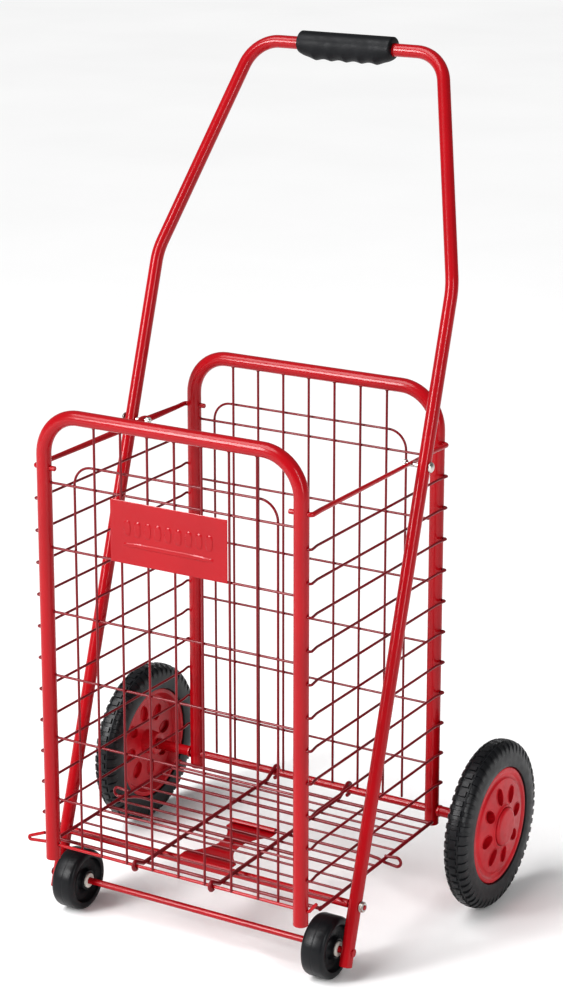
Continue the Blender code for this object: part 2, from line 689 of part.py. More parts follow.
def fasteners(word, side):
    """Nut on the cross rod, bolt and nut at the upper pivot, and push cap on the front axle."""
    face = HANDLE_HALF + HANDLE_R + HOLE_GAP
    nut = bmesh.new()
    hexagon = math.cos(math.pi / 6)
    bore = (CROSS_ROD_END_R + HOLE_GAP) / hexagon
    turned(nut, [(side * face, bore), (side * face, 0.0062), (side * (face + 0.0045), 0.0062),
                 (side * (face + 0.0045), bore)], *CROSS_ROD, 6)
    finish(f"cross_rod_nut_{word}", nut, STEEL, handle_pivot)
    bolt = bmesh.new()
    inner = TOP_ROD_X - 0.0085
    turned(bolt, [(side * inner, 0), (side * inner, PIVOT_BOLT_R), (side * face, PIVOT_BOLT_R),
                  (side * face, 0.0065),
                  (side * (face + 0.002), 0.0058), (side * (face + 0.0038), 0.0030),
                  (side * (face + 0.0042), 0)], *HANDLE_PIVOT, 12)
    finish(f"pivot_bolt_{word}", bolt, STEEL, handle_pivot)
    lock = bmesh.new()
    bore = (PIVOT_BOLT_R + HOLE_GAP) / hexagon
    lock_out = TOP_ROD_X - TOP_ROD_R - GAP
    turned(lock, [(side * (lock_out - 0.0042), bore), (side * (lock_out - 0.0042), 0.0052),
                  (side * lock_out, 0.0052), (side * lock_out, bore)], *HANDLE_PIVOT, 6)
    finish(f"pivot_nut_{word}", lock, STEEL, handle_pivot)
    cap = bmesh.new()
    bore = FRONT_AXLE_R + HOLE_GAP
    turned(cap, [(side * face, bore), (side * face, AXLE_CAP_R),
                 (side * (face + 0.6 * AXLE_CAP_H), 0.9 * AXLE_CAP_R),
                 (side * (face + 0.9 * AXLE_CAP_H), 0.6 * AXLE_CAP_R), (side * (face + AXLE_CAP_H), 0),
                 (side * (axle_end + HOLE_GAP), 0), (side * (axle_end + HOLE_GAP), bore)], *FRONT_AXLE, 12)
    finish(f"axle_cap_{word}", cap, ENAMEL, handle_pivot)


def front_wheel(word, side):
    """A small moulded wheel with recessed faces, on a flanged nylon bush."""
    pivot = empty_at(f"front_wheel_{word}_pivot", *FRONT_AXLE)
    bore = FRONT_AXLE_R + HOLE_GAP
    half = FRONT_WHEEL_W / 2
    radius = FRONT_WHEEL_R
    wheel = bmesh.new()
    one_side = [(half, BUSH_R + HOLE_GAP), (half, 0.0118), (half - WHEEL_RECESS, 0.0140),
                (half - WHEEL_RECESS, radius - 0.012), (half, radius - 0.0095),
                (half, radius - WHEEL_ROUND), (half - 0.3 * WHEEL_ROUND, radius - 0.3 * WHEEL_ROUND),
                (half - WHEEL_ROUND, radius)]
    outline = [(-x, r) for x, r in one_side] + one_side[::-1]
    centre = side * FRONT_WHEEL_X
    turned(wheel, [(centre + x, r) for x, r in outline], *FRONT_AXLE, 20, facet_down=True)
    finish(f"front_wheel_{word}", wheel, RUBBER, pivot)
    bush = bmesh.new()
    long = half + 0.002
    outline = [(centre - long, bore), (centre - long, BUSH_R), (centre + long, BUSH_R), (centre + long, bore)]
    turned(bush, outline, *FRONT_AXLE, 12)
    finish(f"wheel_bush_{word}", bush, NYLON, pivot)


for word, side in (("left", -1), ("right", 1)):
    fasteners(word, side)
    front_wheel(word, side)
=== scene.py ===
"""The looks of the folding rolling basket trolley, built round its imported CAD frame.

Units are metres.  +Z is up, +X is the trolley's right, and its front (nameplate, small wheels) faces -Y.
Places come from the frame's joints and boxes; the sizes named below are details that the frame doesn't give.
"""

import json
import math

import bmesh
import bpy
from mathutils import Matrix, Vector


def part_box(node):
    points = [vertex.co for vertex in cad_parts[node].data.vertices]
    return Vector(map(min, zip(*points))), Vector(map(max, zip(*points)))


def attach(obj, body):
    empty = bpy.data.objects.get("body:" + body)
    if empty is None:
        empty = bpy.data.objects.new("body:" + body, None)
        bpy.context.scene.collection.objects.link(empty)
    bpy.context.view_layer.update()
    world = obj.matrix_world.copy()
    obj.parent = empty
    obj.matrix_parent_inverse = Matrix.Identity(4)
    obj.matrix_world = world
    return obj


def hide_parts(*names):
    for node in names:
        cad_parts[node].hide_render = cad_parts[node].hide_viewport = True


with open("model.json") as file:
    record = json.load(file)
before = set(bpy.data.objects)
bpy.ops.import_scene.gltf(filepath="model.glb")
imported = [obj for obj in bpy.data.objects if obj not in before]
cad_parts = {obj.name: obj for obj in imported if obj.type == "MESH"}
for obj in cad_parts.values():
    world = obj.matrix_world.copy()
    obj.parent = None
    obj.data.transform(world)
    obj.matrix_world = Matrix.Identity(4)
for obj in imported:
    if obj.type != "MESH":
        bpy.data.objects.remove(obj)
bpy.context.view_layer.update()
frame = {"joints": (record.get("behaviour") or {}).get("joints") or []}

JOINTS = {joint["name"]: joint for joint in frame["joints"]}
SIDES = (("left", -1), ("right", 1))


def joint_at(name):
    """Where a joint's axis, which runs along X, crosses the YZ plane."""
    return tuple(JOINTS[name]["pos_m"][1:])


# Places that the frame gives
REAR_Y, AXLE_Z = joint_at("rear_wheel_left_spin")
FRONT_Y, TOP_LEVEL = joint_at("front_panel_hinge")
HANDLE_PIVOT = joint_at("handle_hinge")
FRONT_AXLE = joint_at("front_wheel_left_spin")
LINK_PIVOT = joint_at("plate_hinge")
LEVELS = 1 + sum(name.startswith("link_") for name in JOINTS)
LEVEL_PITCH = TOP_LEVEL - joint_at("link_02_swing")[1]
CAD_FLAT = math.cos(math.pi / 10)  # the CAD tubes have ten flats


def middle(node):
    """Middle of a CAD node's box."""
    low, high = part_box(node)
    return (low + high) / 2


def half_size(node, axis):
    low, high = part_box(node)
    return (high[axis] - low[axis]) / 2


def span_x(node):
    """How near the middle a node of one side starts, and how far out it ends."""
    low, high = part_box(node)
    return sorted((abs(low.x), abs(high.x)))


TUBE_R = half_size("front_tube", 1)
LEG_X = half_size("front_tube", 0) - TUBE_R * CAD_FLAT
FRAME_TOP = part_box("front_tube")[1].z - TUBE_R * CAD_FLAT
FRAME_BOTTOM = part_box("front_tube")[0].z
GRIP_HALF = half_size("grip", 0)
GRIP_R = half_size("grip", 1)
HANDLE_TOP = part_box("grip")[1].z - GRIP_R
HANDLE_TOP_Y = middle("grip").y
CROSS_ROD = tuple(middle("cross_rod").yz)
CROSS_ROD_END = half_size("cross_rod", 0)
AXLE_END = half_size("rear_axle", 0)
AXLE_R = half_size("rear_axle", 1)
TYRE_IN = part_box("rear_tyre_right")[0].x
TYRE_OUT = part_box("rear_tyre_right")[1].x
REAR_WHEEL_R = AXLE_Z
FRONT_WHEEL_R = FRONT_AXLE[1]
FRONT_WHEEL_X = middle("front_wheel_right").x
FRONT_WHEEL_HALF = half_size("front_wheel_right", 0)
FRONT_AXLE_R = half_size("front_axle", 1)
FRONT_AXLE_END = half_size("front_axle", 0)
BUSH_HALF = half_size("wheel_bush_right", 0)
BUSH_R = half_size("wheel_bush_right", 1)
HUB_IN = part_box("rear_rim_right")[0].x
RIM_R = half_size("rear_rim_right", 1)
CAP_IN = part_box("hub_cap_right")[0].x
CAP_R = half_size("hub_cap_right", 1)
CAP_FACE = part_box("hub_cap_right")[1].x
BOSS_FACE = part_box("rear_rim_right")[1].x
BOTTOM_LOOP_X = -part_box("front_grid")[0].x
BOTTOM_HOOK_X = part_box("front_grid")[1].x
PLATE_LOW, PLATE_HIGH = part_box("name_plate")
TRAY_Z = LINK_PIVOT[1] + 0.0005

# Sizes of the details
TUBE_WALL = 0.0016
FRAME_CORNER = 0.050
WIRE_R = 0.0015
UPRIGHTS = 7
UPRIGHT_PITCH = 0.0368
CROSS_WIRES = 6
CROSS_TOP = 0.567
CROSS_PITCH = 0.0802
ARCH_HALF = 0.1385
ARCH_TOP = 0.592
ARCH_CORNER = 0.024
FRONT_UPRIGHT_OFF = 0.008  # how far the wires are welded off the middle, to the right
FRONT_ARCH_OFF = 0.004
REAR_UPRIGHT_OFF = -0.005
REAR_ARCH_OFF = -0.0085
BOTTOM_ROD_R = 0.002
BOTTOM_LOOP_DROP = 0.0025
BOTTOM_LOOP_RISE = 0.0115
BOTTOM_HOOK_RISE = 0.0125
ROD_R = 0.0016
TOP_ROD_R = 0.003
TOP_ROD_EYE_R = 0.0065
HANDLE_R = 0.008
HANDLE_WALL = 0.0015
HANDLE_FOOT_Z = 0.0205
KNEE_Z = 0.788
KNEE_R = 0.10
HANDLE_TOP_HALF = 0.131
HANDLE_CORNER = 0.045
PIVOT_BOLT_R = 0.0026
CROSS_ROD_R = 0.005
CROSS_ROD_END_R = 0.003
HOLE_GAP = 0.0003  # between a hole and what goes through it
GAP = 0.0004  # between two pieces side by side
SINK = 0.0006  # how deep a welded wire's end goes into its tube
TIP_R = 0.00002  # a turned face stops this short of its axis, so that it keeps its points apart

ROD_X = LEG_X + TUBE_R + GAP + ROD_R
TOP_ROD_X = LEG_X + TUBE_R + GAP + TOP_ROD_R
HANDLE_HALF = half_size("handle_tube", 0) - HANDLE_R * CAD_FLAT
HANDLE_SLOPE = (HANDLE_PIVOT[0] - FRONT_AXLE[0]) / (HANDLE_PIVOT[1] - FRONT_AXLE[1])


# Shape helpers


class Shape:
    """Vertices and faces collected for one mesh."""

    def __init__(self):
        self.verts = []
        self.faces = []

    def skin(self, rows, along=False, around=True):
        """Skins rows of points with quads. Rows are closed rings if around is set, and along joins the last row to
        the first."""
        start = len(self.verts)
        size = len(rows[0])
        for row in rows:
            self.verts.extend(tuple(p) for p in row)
        steps = len(rows) if along else len(rows) - 1
        turns = size if around else size - 1
        for i in range(steps):
            one = start + i * size
            two = start + (i + 1) % len(rows) * size
            for k in range(turns):
                n = (k + 1) % size
                self.faces.append((one + k, one + n, two + n, two + k))
        return start

    def lid(self, ring):
        """Closes a ring of points with one face, on vertices of its own that are merged later."""
        start = len(self.verts)
        self.verts.extend(tuple(p) for p in ring)
        self.faces.append(tuple(range(start, start + len(ring))))

    def solid(self, rings):
        """Skins rings and closes both ends."""
        self.skin(rings)
        self.lid(rings[0])
        self.lid(rings[-1])


def full_turn(steps):
    return [2 * math.pi * k / steps for k in range(steps)]


def sweep(start, stop, steps):
    """Angles in radians of an arc between two directions in degrees."""
    return [math.radians(start + (stop - start) * k / steps) for k in range(steps + 1)]


def polar(centre, radius, angle):
    """The (y, z) of a point round a centre; angles run from +Y towards +Z."""
    return centre[0] + radius * math.cos(angle), centre[1] + radius * math.sin(angle)


def mirrored(path):
    """The left twin of a path on the right half, run the other way, so that it leads into the path."""
    return [Vector((-p.x, p.y, p.z)) for p in reversed(path)]


def sided(outline, side):
    """An outline of (x, radius) for the right half, set on one side."""
    return [(side * x, r) for x, r in outline]


def doubled(outline):
    """An outline of (x, radius) from the middle outwards, with its twin before it."""
    return [(-x, r) for x, r in reversed(outline) if x > 0] + outline


def fillet(before, at, after, radius, steps):
    """Points on a round corner between two straight runs."""
    one = (before - at).normalized()
    two = (after - at).normalized()
    half_angle = one.angle(two) / 2
    centre = at + (one + two).normalized() * (radius / math.sin(half_angle))
    start = at + one * (radius / math.tan(half_angle)) - centre
    stop = at + two * (radius / math.tan(half_angle)) - centre
    return [centre + start.slerp(stop, k / steps).normalized() * radius for k in range(steps + 1)]


def rounded(points, radii, steps=8):
    """An open path whose inner corners are turned into arcs; radii is one radius, or one for each corner."""
    points = [Vector(p) for p in points]
    if not hasattr(radii, "__len__"):
        radii = [radii] * (len(points) - 2)
    path = [points[0]]
    for before, at, after, radius in zip(points, points[1:], points[2:], radii):
        path += fillet(before, at, after, radius, steps)
    path.append(points[-1])
    return path


def softened(outline, radius, steps=3):
    """A closed outline of (x, r) points with every corner rounded by up to that radius."""
    points = [Vector((x, r, 0.0)) for x, r in outline]
    soft = []
    count = len(points)
    for k, at in enumerate(points):
        before, after = points[k - 1], points[(k + 1) % count]
        room = min((before - at).length, (after - at).length) * 0.45
        one, two = (before - at).normalized(), (after - at).normalized()
        angle = one.angle(two)
        if angle > math.radians(172):
            soft.append((at.x, at.y))
            continue
        size = min(radius, room * math.tan(angle / 2))
        soft += [(p.x, p.y) for p in fillet(before, at, after, size, steps)]
    return soft


def rings_along(path, radius, sides, squash=None):
    """Rings of points along a path, turning with it. squash gives (wide, high) factors at a point of the path."""
    heading = (path[1] - path[0]).normalized()
    side = heading.orthogonal().normalized()
    if abs(heading.x) < 0.9:
        side = (Vector((1, 0, 0)) - heading * heading.x).normalized()
    rings = []
    for k, point in enumerate(path):
        before = (point - path[k - 1]).normalized() if k else heading
        after = (path[k + 1] - point).normalized() if k + 1 < len(path) else before
        tangent = (before + after).normalized()
        side = heading.rotation_difference(tangent) @ side
        heading = tangent
        up = tangent.cross(side)
        wide, high = squash(point) if squash else (1.0, 1.0)
        size = radius[k] if hasattr(radius, "__len__") else radius
        rings.append([point + size * (wide * math.cos(a) * side + high * math.sin(a) * up)
                      for a in full_turn(sides)])
    return rings


def with_ends(path, inset):
    """A path as vectors, with a second point just inside each end."""
    path = [Vector(p) for p in path]
    first = (path[1] - path[0]).normalized()
    last = (path[-1] - path[-2]).normalized()
    return [path[0], path[0] + first * inset, *path[1:-1], path[-1] - last * inset, path[-1]]


def rod(shape, path, radius, sides=12, chamfer=0.0004, squash=None):
    """Adds a solid round rod whose two ends are chamfered."""
    full = with_ends(path, chamfer)
    sizes = [radius] * len(full)
    sizes[0] = sizes[-1] = radius - chamfer
    shape.solid(rings_along(full, sizes, sides, squash))


def tube(shape, path, radius, wall, sides=32):
    """Adds an open-ended tube with a real wall and softened lips."""
    lip = wall * 0.3
    full = with_ends(path, lip)
    outer = [radius] * len(full)
    inner = [radius - wall] * len(full)
    outer[0] = outer[-1] = radius - lip
    inner[0] = inner[-1] = radius - wall + lip
    inside = rings_along(full, inner, sides)
    shape.skin(rings_along(full, outer, sides) + inside[::-1], along=True)


def turned_rows(outline, centre, sides):
    """Rings about the X direction through centre (y, z), one for each (x, radius) of an outline."""
    return [[(x, *polar(centre, r, a)) for a in full_turn(sides)] for x, r in outline]


def turned(shape, outline, centre, sides=48):
    """Adds a turned ring with a closed outline."""
    shape.skin(turned_rows(outline, centre, sides), along=True)


def turned_solid(shape, outline, centre, sides=20):
    """Adds a turned solid with an open outline whose two ends are closed with lids."""
    shape.solid(turned_rows(outline, centre, sides))


def nugget(shape, centre, size, stretch=(1.0, 1.0, 1.0)):
    """Adds the small rounded lump that a spot weld leaves where two wires cross."""
    bands = 6
    rows = []
    for k in range(1, bands):
        high = math.pi * k / bands
        ring = []
        for a in full_turn(10):
            point = (math.sin(high) * math.cos(a), math.sin(high) * math.sin(a), math.cos(high))
            ring.append(tuple(c + size * s * p for c, s, p in zip(centre, stretch, point)))
        rows.append(ring)
    shape.solid(rows)


def new_object(name, data):
    made = bpy.data.objects.new(name, data)
    bpy.context.scene.collection.objects.link(made)
    return made


def mesh_object(name, shape):
    """A clean closed mesh object from a shape: doubled points merged, normals outwards."""
    mesh = bpy.data.meshes.new(name)
    mesh.from_pydata(shape.verts, [], shape.faces)
    work = bmesh.new()
    work.from_mesh(mesh)
    bmesh.ops.remove_doubles(work, verts=work.verts, dist=1e-6)
    bmesh.ops.dissolve_degenerate(work, edges=work.edges, dist=1e-7)
    bmesh.ops.recalc_face_normals(work, faces=work.faces)
    work.to_mesh(mesh)
    work.free()
    return new_object(name, mesh)


def drill(target, holes):
    """Cuts a helper shape out of a piece, and leaves the result as plain mesh."""
    cutter = mesh_object("cutter", holes)
    change = target.modifiers.new("drill", "BOOLEAN")
    change.operation = "DIFFERENCE"
    change.solver = "EXACT"
    change.object = cutter
    evaluated = target.evaluated_get(bpy.context.evaluated_depsgraph_get())
    drilled = bpy.data.meshes.new_from_object(evaluated)
    target.modifiers.clear()
    target.data = drilled
    bpy.data.objects.remove(cutter)


def place(name, shape, look, body, node, holes=None, sharp=40):
    """Makes a piece of a shape, drills it, sets it on its CAD body and hides the CAD node that it stands for."""
    made = mesh_object(name, shape)
    if holes:
        drill(made, holes)
    made.data.materials.clear()
    made.data.materials.append(look)
    made.data.shade_smooth()
    made.data.set_sharp_from_angle(angle=math.radians(sharp))
    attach(made, body)
    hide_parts(node)


def hole_x(holes, x_from, x_to, centre, radius):
    """Adds a cutter for a round hole along X, a little wider than what goes through it."""
    turned_solid(holes, [(x_from, radius + HOLE_GAP), (x_to, radius + HOLE_GAP)], centre)


# Materials


class Look:
    """A procedural material on a piece's own coordinates."""

    def __init__(self, name):
        self.material = bpy.data.materials.new(name)
        self.material.use_nodes = True
        self.nodes = self.material.node_tree.nodes
        self.link = self.material.node_tree.links.new
        self.shader = self.nodes["Principled BSDF"]
        self.coordinates = self.nodes.new("ShaderNodeTexCoord").outputs["Object"]

    def add(self, kind, inputs):
        """A new node; each input is given a value, or the output of another node."""
        made = self.nodes.new("ShaderNode" + kind)
        for name, given in inputs.items():
            if isinstance(given, bpy.types.NodeSocket):
                self.link(given, made.inputs[name])
            else:
                made.inputs[name].default_value = given
        return made

    def noise(self, scale, detail=3.0, roughness=0.5, stretch=None):
        source = self.coordinates
        if stretch:
            source = self.add("Mapping", {"Vector": source, "Scale": stretch}).outputs["Vector"]
        inputs = {"Vector": source, "Scale": scale, "Detail": detail, "Roughness": roughness}
        return self.add("TexNoise", inputs).outputs["Fac"]

    def tint(self, source, colour, stops):
        """Drives the base colour; each stop pairs a level of the source with a share of the colour."""
        made = self.add("ValToRGB", {"Fac": source})
        elements = made.color_ramp.elements
        for _ in stops[2:]:
            elements.new(0.5)
        for element, (level, share) in zip(elements, stops):
            element.position = level
            element.color = (*(part * share for part in colour), 1.0)
        self.link(made.outputs["Color"], self.shader.inputs["Base Color"])

    def roughen(self, source, low, high, from_low=0.3, from_high=0.7):
        """Drives the roughness between low and high."""
        inputs = {"Value": source, "From Min": from_low, "From Max": from_high, "To Min": low, "To Max": high}
        self.link(self.add("MapRange", inputs).outputs["Result"], self.shader.inputs["Roughness"])

    def relief(self, *layers):
        """Stacks bumps, the lowest first; each layer is a height with its depth and strength."""
        under = None
        for height, depth, strength in layers:
            made = self.add("Bump", {"Height": height, "Distance": depth, "Strength": strength})
            if under:
                self.link(under, made.inputs["Normal"])
            under = made.outputs["Normal"]
        self.link(under, self.shader.inputs["Normal"])


def enamel(name, colour, roughness):
    """Sprayed gloss enamel: slow colour drift, fine orange peel and a clear top layer."""
    look = Look(name)
    look.tint(look.noise(9.0, 2.0), colour, ((0.30, 0.90), (0.52, 1.0), (0.74, 1.07)))
    look.roughen(look.noise(22.0, 1.0), roughness - 0.02, roughness + 0.03, 0.2, 0.8)
    look.relief((look.noise(700.0, 1.0), 0.00003, 0.2))
    look.shader.inputs["Specular IOR Level"].default_value = 0.20
    look.shader.inputs["Coat Weight"].default_value = 0.24
    look.shader.inputs["Coat Roughness"].default_value = 0.09
    return look.material


def moulded(name, colour, roughness, grain, depth, coat=0.0, gloss=0.22):
    """Moulded plastic or rubber: a fine grain, faint flow marks and slightly uneven gloss."""
    look = Look(name)
    look.tint(look.noise(26.0, 4.0, 0.6), colour, ((0.28, 0.80), (0.50, 1.0), (0.76, 1.22)))
    look.roughen(look.noise(110.0, 2.0), roughness - 0.07, roughness + 0.08)
    pores = look.add("TexVoronoi", {"Vector": look.coordinates, "Scale": grain}).outputs["Distance"]
    look.relief((pores, depth, 0.6), (look.noise(grain * 1.7, 2.0), depth * 0.5, 0.5))
    look.shader.inputs["Specular IOR Level"].default_value = gloss
    look.shader.inputs["Coat Weight"].default_value = coat
    look.shader.inputs["Coat Roughness"].default_value = 0.25
    return look.material


def plated(name, colour, roughness):
    """Bright zinc plating with fine turning marks and a few duller patches."""
    look = Look(name)
    patch = look.noise(240.0, 4.0, 0.6)
    look.tint(patch, colour, ((0.30, 0.72), (0.55, 1.0), (0.80, 1.15)))
    look.roughen(patch, roughness - 0.08, roughness + 0.12)
    look.relief((look.noise(500.0, 2.0, 0.5, (6.0, 1.0, 1.0)), 0.00005, 0.5))
    look.shader.inputs["Metallic"].default_value = 1.0
    return look.material


TUBE_ENAMEL = enamel("tube_enamel", (0.335, 0.003, 0.008), 0.24)
# The wires carry the same red enamel as the tubes; this darker copy is painted shade on the thin wires, not a
# different paint.
WIRE_ENAMEL_PAINTED_SHADE = enamel("wire_enamel", (0.17, 0.0025, 0.0075), 0.30)
GRIP_PLASTIC = moulded("grip_plastic", (0.005, 0.0055, 0.007), 0.46, 700.0, 0.00016)
TYRE_RUBBER = moulded("tyre_rubber", (0.006, 0.0065, 0.008), 0.36, 1100.0, 0.00006, 0.0, 0.38)
WHEEL_PLASTIC = moulded("wheel_plastic", (0.004, 0.0045, 0.006), 0.42, 1400.0, 0.00005, 0.15)
BUSH_NYLON = moulded("bush_nylon", (0.60, 0.58, 0.53), 0.48, 1300.0, 0.00004)
RIM_PLASTIC = moulded("rim_plastic", (0.47, 0.007, 0.016), 0.38, 1200.0, 0.00004, 0.25)
ZINC_STEEL = plated("zinc_steel", (0.62, 0.61, 0.58), 0.30)


# Tube frames


HOLE_BAND = 0.007  # a drilled tube has a ring of points this far above and below each hole
DRILL_PAST = 0.003
GRID_SPLIT = 0.85  # uprights and cross wires stand this share of their radius off the grid's plane
WELD_R = 0.0019
TOP_WELD = (0.0024, (1, 1, 0.5))  # size and stretch of the welds at the wires' ends
FOOT_WELD = (0.0021, (1, 1, 0.8))
SIDE_WELD = (0.0025, (0.5, 1, 1))


def level_z(level):
    return TOP_LEVEL - LEVEL_PITCH * level


def frame_tube(name, y, axle_hole, body, node):
    """An upside-down U of tube, drilled for the side rods and for the bottom rod or the axle."""
    stops = []
    for level in range(LEVELS):
        stops += [level_z(level) + HOLE_BAND, level_z(level) - HOLE_BAND]
    stops += [AXLE_Z + HOLE_BAND + 0.003, AXLE_Z - HOLE_BAND - 0.001, FRAME_BOTTOM]
    leg = [Vector((LEG_X, y, z)) for z in stops]
    top = Vector((0, y, FRAME_TOP))
    half = fillet(top, Vector((LEG_X, y, FRAME_TOP)), leg[0], FRAME_CORNER, 14) + leg
    shape = Shape()
    tube(shape, mirrored(half) + half, TUBE_R, TUBE_WALL)
    holes = Shape()
    beyond = TUBE_R + DRILL_PAST
    for _, side in SIDES:
        for level in range(LEVELS):
            radius = TOP_ROD_R if level == 0 else ROD_R
            reach = -beyond if level == 0 else 0.0
            hole_x(holes, side * (LEG_X + reach), side * (LEG_X + beyond), (y, level_z(level)), radius)
        hole_x(holes, side * (LEG_X - beyond), side * (LEG_X + beyond), (y, AXLE_Z), axle_hole)
    place(name, shape, TUBE_ENAMEL, body, node, holes, sharp=32)


def wire_grid(name, y, low, upright_off, arch_off, body, node):
    """Round uprights, cross wires and an inner arch, with a weld where they cross."""
    shape = Shape()
    leg_face = LEG_X - TUBE_R + SINK
    top = FRAME_TOP - TUBE_R + SINK
    upright_y = y - WIRE_R * GRID_SPLIT
    cross_y = y + WIRE_R * GRID_SPLIT
    arch_y = cross_y + WIRE_R * GRID_SPLIT * 2
    upright_x = [upright_off + UPRIGHT_PITCH * (k - (UPRIGHTS - 1) / 2) for k in range(UPRIGHTS)]
    for x in upright_x:
        rod(shape, [(x, upright_y, low), (x, upright_y, top)], WIRE_R)
        nugget(shape, (x, upright_y, top - 0.0004), *TOP_WELD)
        nugget(shape, (x, upright_y, low + 0.0003), *FOOT_WELD)
    for k in range(CROSS_WIRES):
        z = CROSS_TOP - CROSS_PITCH * k
        rod(shape, [(-leg_face, cross_y, z), (leg_face, cross_y, z)], WIRE_R)
        for _, side in SIDES:
            nugget(shape, (side * (leg_face - 0.0002), cross_y, z), *SIDE_WELD)
            nugget(shape, (arch_off + side * ARCH_HALF, (cross_y + arch_y) / 2, z), WELD_R)
        for x in upright_x:
            nugget(shape, (x, y, z), WELD_R)
    arch_left, arch_right = arch_off - ARCH_HALF, arch_off + ARCH_HALF
    corners = [(arch_left, arch_y, low), (arch_left, arch_y, ARCH_TOP),
               (arch_right, arch_y, ARCH_TOP), (arch_right, arch_y, low)]
    rod(shape, rounded(corners, ARCH_CORNER, 10), WIRE_R)
    place(name, shape, WIRE_ENAMEL_PAINTED_SHADE, body, node)


def bottom_rod():
    """The front frame's lowest rod: a loop outside the left leg, and a short hook outside the right one."""
    leg_side = LEG_X + TUBE_R
    bend = 1.3 * BOTTOM_ROD_R
    low = AXLE_Z - BOTTOM_LOOP_DROP
    centre = Vector((-(BOTTOM_LOOP_X - BOTTOM_ROD_R - bend), FRONT_Y, low + bend))
    path = [Vector((-leg_side - 0.003, FRONT_Y, AXLE_Z + BOTTOM_LOOP_RISE))]
    for a in sweep(112, 277, 14):
        path.append(centre + bend * Vector((math.cos(a), 0, math.sin(a))))
    hook = [(-leg_side - 0.003, FRONT_Y, AXLE_Z), (leg_side + 0.002, FRONT_Y, AXLE_Z),
            (BOTTOM_HOOK_X - 0.7 * BOTTOM_ROD_R, FRONT_Y, AXLE_Z + BOTTOM_HOOK_RISE)]
    path += rounded(hook, 3 * BOTTOM_ROD_R)
    shape = Shape()
    rod(shape, path, BOTTOM_ROD_R, 14)
    place("front_bottom_rod", shape, TUBE_ENAMEL, "front_panel", "front_grid")


frame_tube("front_tube_smooth", FRONT_Y, BOTTOM_ROD_R, "front_panel", "front_tube")
frame_tube("rear_tube_smooth", REAR_Y, AXLE_R, "rear_frame", "rear_tube")
wire_grid("front_grid_wires", FRONT_Y, AXLE_Z, FRONT_UPRIGHT_OFF, FRONT_ARCH_OFF, "front_panel", "front_grid")
wire_grid("rear_grid_wires", REAR_Y, AXLE_Z + AXLE_R - SINK / 2, REAR_UPRIGHT_OFF, REAR_ARCH_OFF,
          "rear_frame", "rear_grid")
bottom_rod()


# Front plate, embossed with a plain pattern of pads


PLATE_COLUMNS = 200
PLATE_ROWS = 96
PLATE_EDGE = 0.0004
PAD_RISE = 0.0008
PADS = 9
PAD_PITCH = 0.014
PAD_HALF_WIDE = 0.0042
PAD_HALF_HIGH = 0.0085
PAD_UP = 0.006  # from the plate's middle up to the pads', and down to the bar
BAR_DOWN = 0.014
BAR_HALF_WIDE = 0.060
BAR_HALF_HIGH = 0.0022


def soft_step(level):
    """A raised shape's height, full inside and falling steeply to nothing at its edge."""
    return min(1.0, max(0.0, level * 3))


def pad_height(x, z):
    """Relief of the plate: one row of slim upright pads with a long low bar under them."""
    up = z - (PLATE_LOW.z + PLATE_HIGH.z) / 2
    bar = (abs(x) / BAR_HALF_WIDE) ** 6 + (abs(up + BAR_DOWN) / BAR_HALF_HIGH) ** 4
    rise = soft_step(1.2 - bar)
    for k in range(PADS):
        along = abs(x - PAD_PITCH * (k - (PADS - 1) / 2)) / PAD_HALF_WIDE
        rise = max(rise, soft_step(1.25 - along ** 3 - (abs(up - PAD_UP) / PAD_HALF_HIGH) ** 3))
    return rise * PAD_RISE


def front_plate():
    """A sheet whose front face carries the relief, with a small bevel round its edge."""
    front_y = PLATE_LOW.y + PAD_RISE
    rows = []
    for i in range(PLATE_ROWS + 1):
        z = PLATE_LOW.z + (PLATE_HIGH.z - PLATE_LOW.z) * i / PLATE_ROWS
        row = []
        for k in range(PLATE_COLUMNS + 1):
            x = PLATE_LOW.x + (PLATE_HIGH.x - PLATE_LOW.x) * k / PLATE_COLUMNS
            rim = i in (0, PLATE_ROWS) or k in (0, PLATE_COLUMNS)
            row.append((x, front_y + PLATE_EDGE if rim else front_y - pad_height(x, z), z))
        rows.append(row)
    shape = Shape()
    shape.skin(rows, around=False)
    ring = rows[0] + [row[-1] for row in rows[1:]] + rows[-1][-2::-1] + [row[0] for row in rows[-2:0:-1]]
    back = [(x, PLATE_HIGH.y, z) for x, _, z in ring]
    shape.skin([ring, back])
    shape.lid(back)
    place("front_plate_embossed", shape, TUBE_ENAMEL, "front_panel", "name_plate")


front_plate()


# Side rods


END_BULGE = 0.0030  # how far a thin rod's bent end stands out beyond its straight run
END_OVERSHOOT = 0.0024
END_BEND_R = 0.0026
TOP_END_BULGE = 0.0012
TOP_END_BEND_R = 0.0042
TOP_END_IN = 0.016  # how far the thick rod's ends reach inside the legs
EYE_REACH = TOP_ROD_EYE_R + 0.004  # from the pivot to where the thick rod is round again
EYE_FLATTENING = 0.32


def thin_rod_path(side, z):
    """From a hole in the front leg, round its outside, straight back, and into the rear leg's hole."""
    start_x = LEG_X + 0.003
    out_x = ROD_X + END_BULGE
    run = 0.016
    points = ((start_x, FRONT_Y), (out_x, FRONT_Y - END_OVERSHOOT), (ROD_X, FRONT_Y + run),
              (ROD_X, REAR_Y - run), (out_x, REAR_Y + END_OVERSHOOT), (start_x, REAR_Y))
    return rounded([(side * x, y, z) for x, y in points], (END_BEND_R, 0.02, 0.02, END_BEND_R), 6)


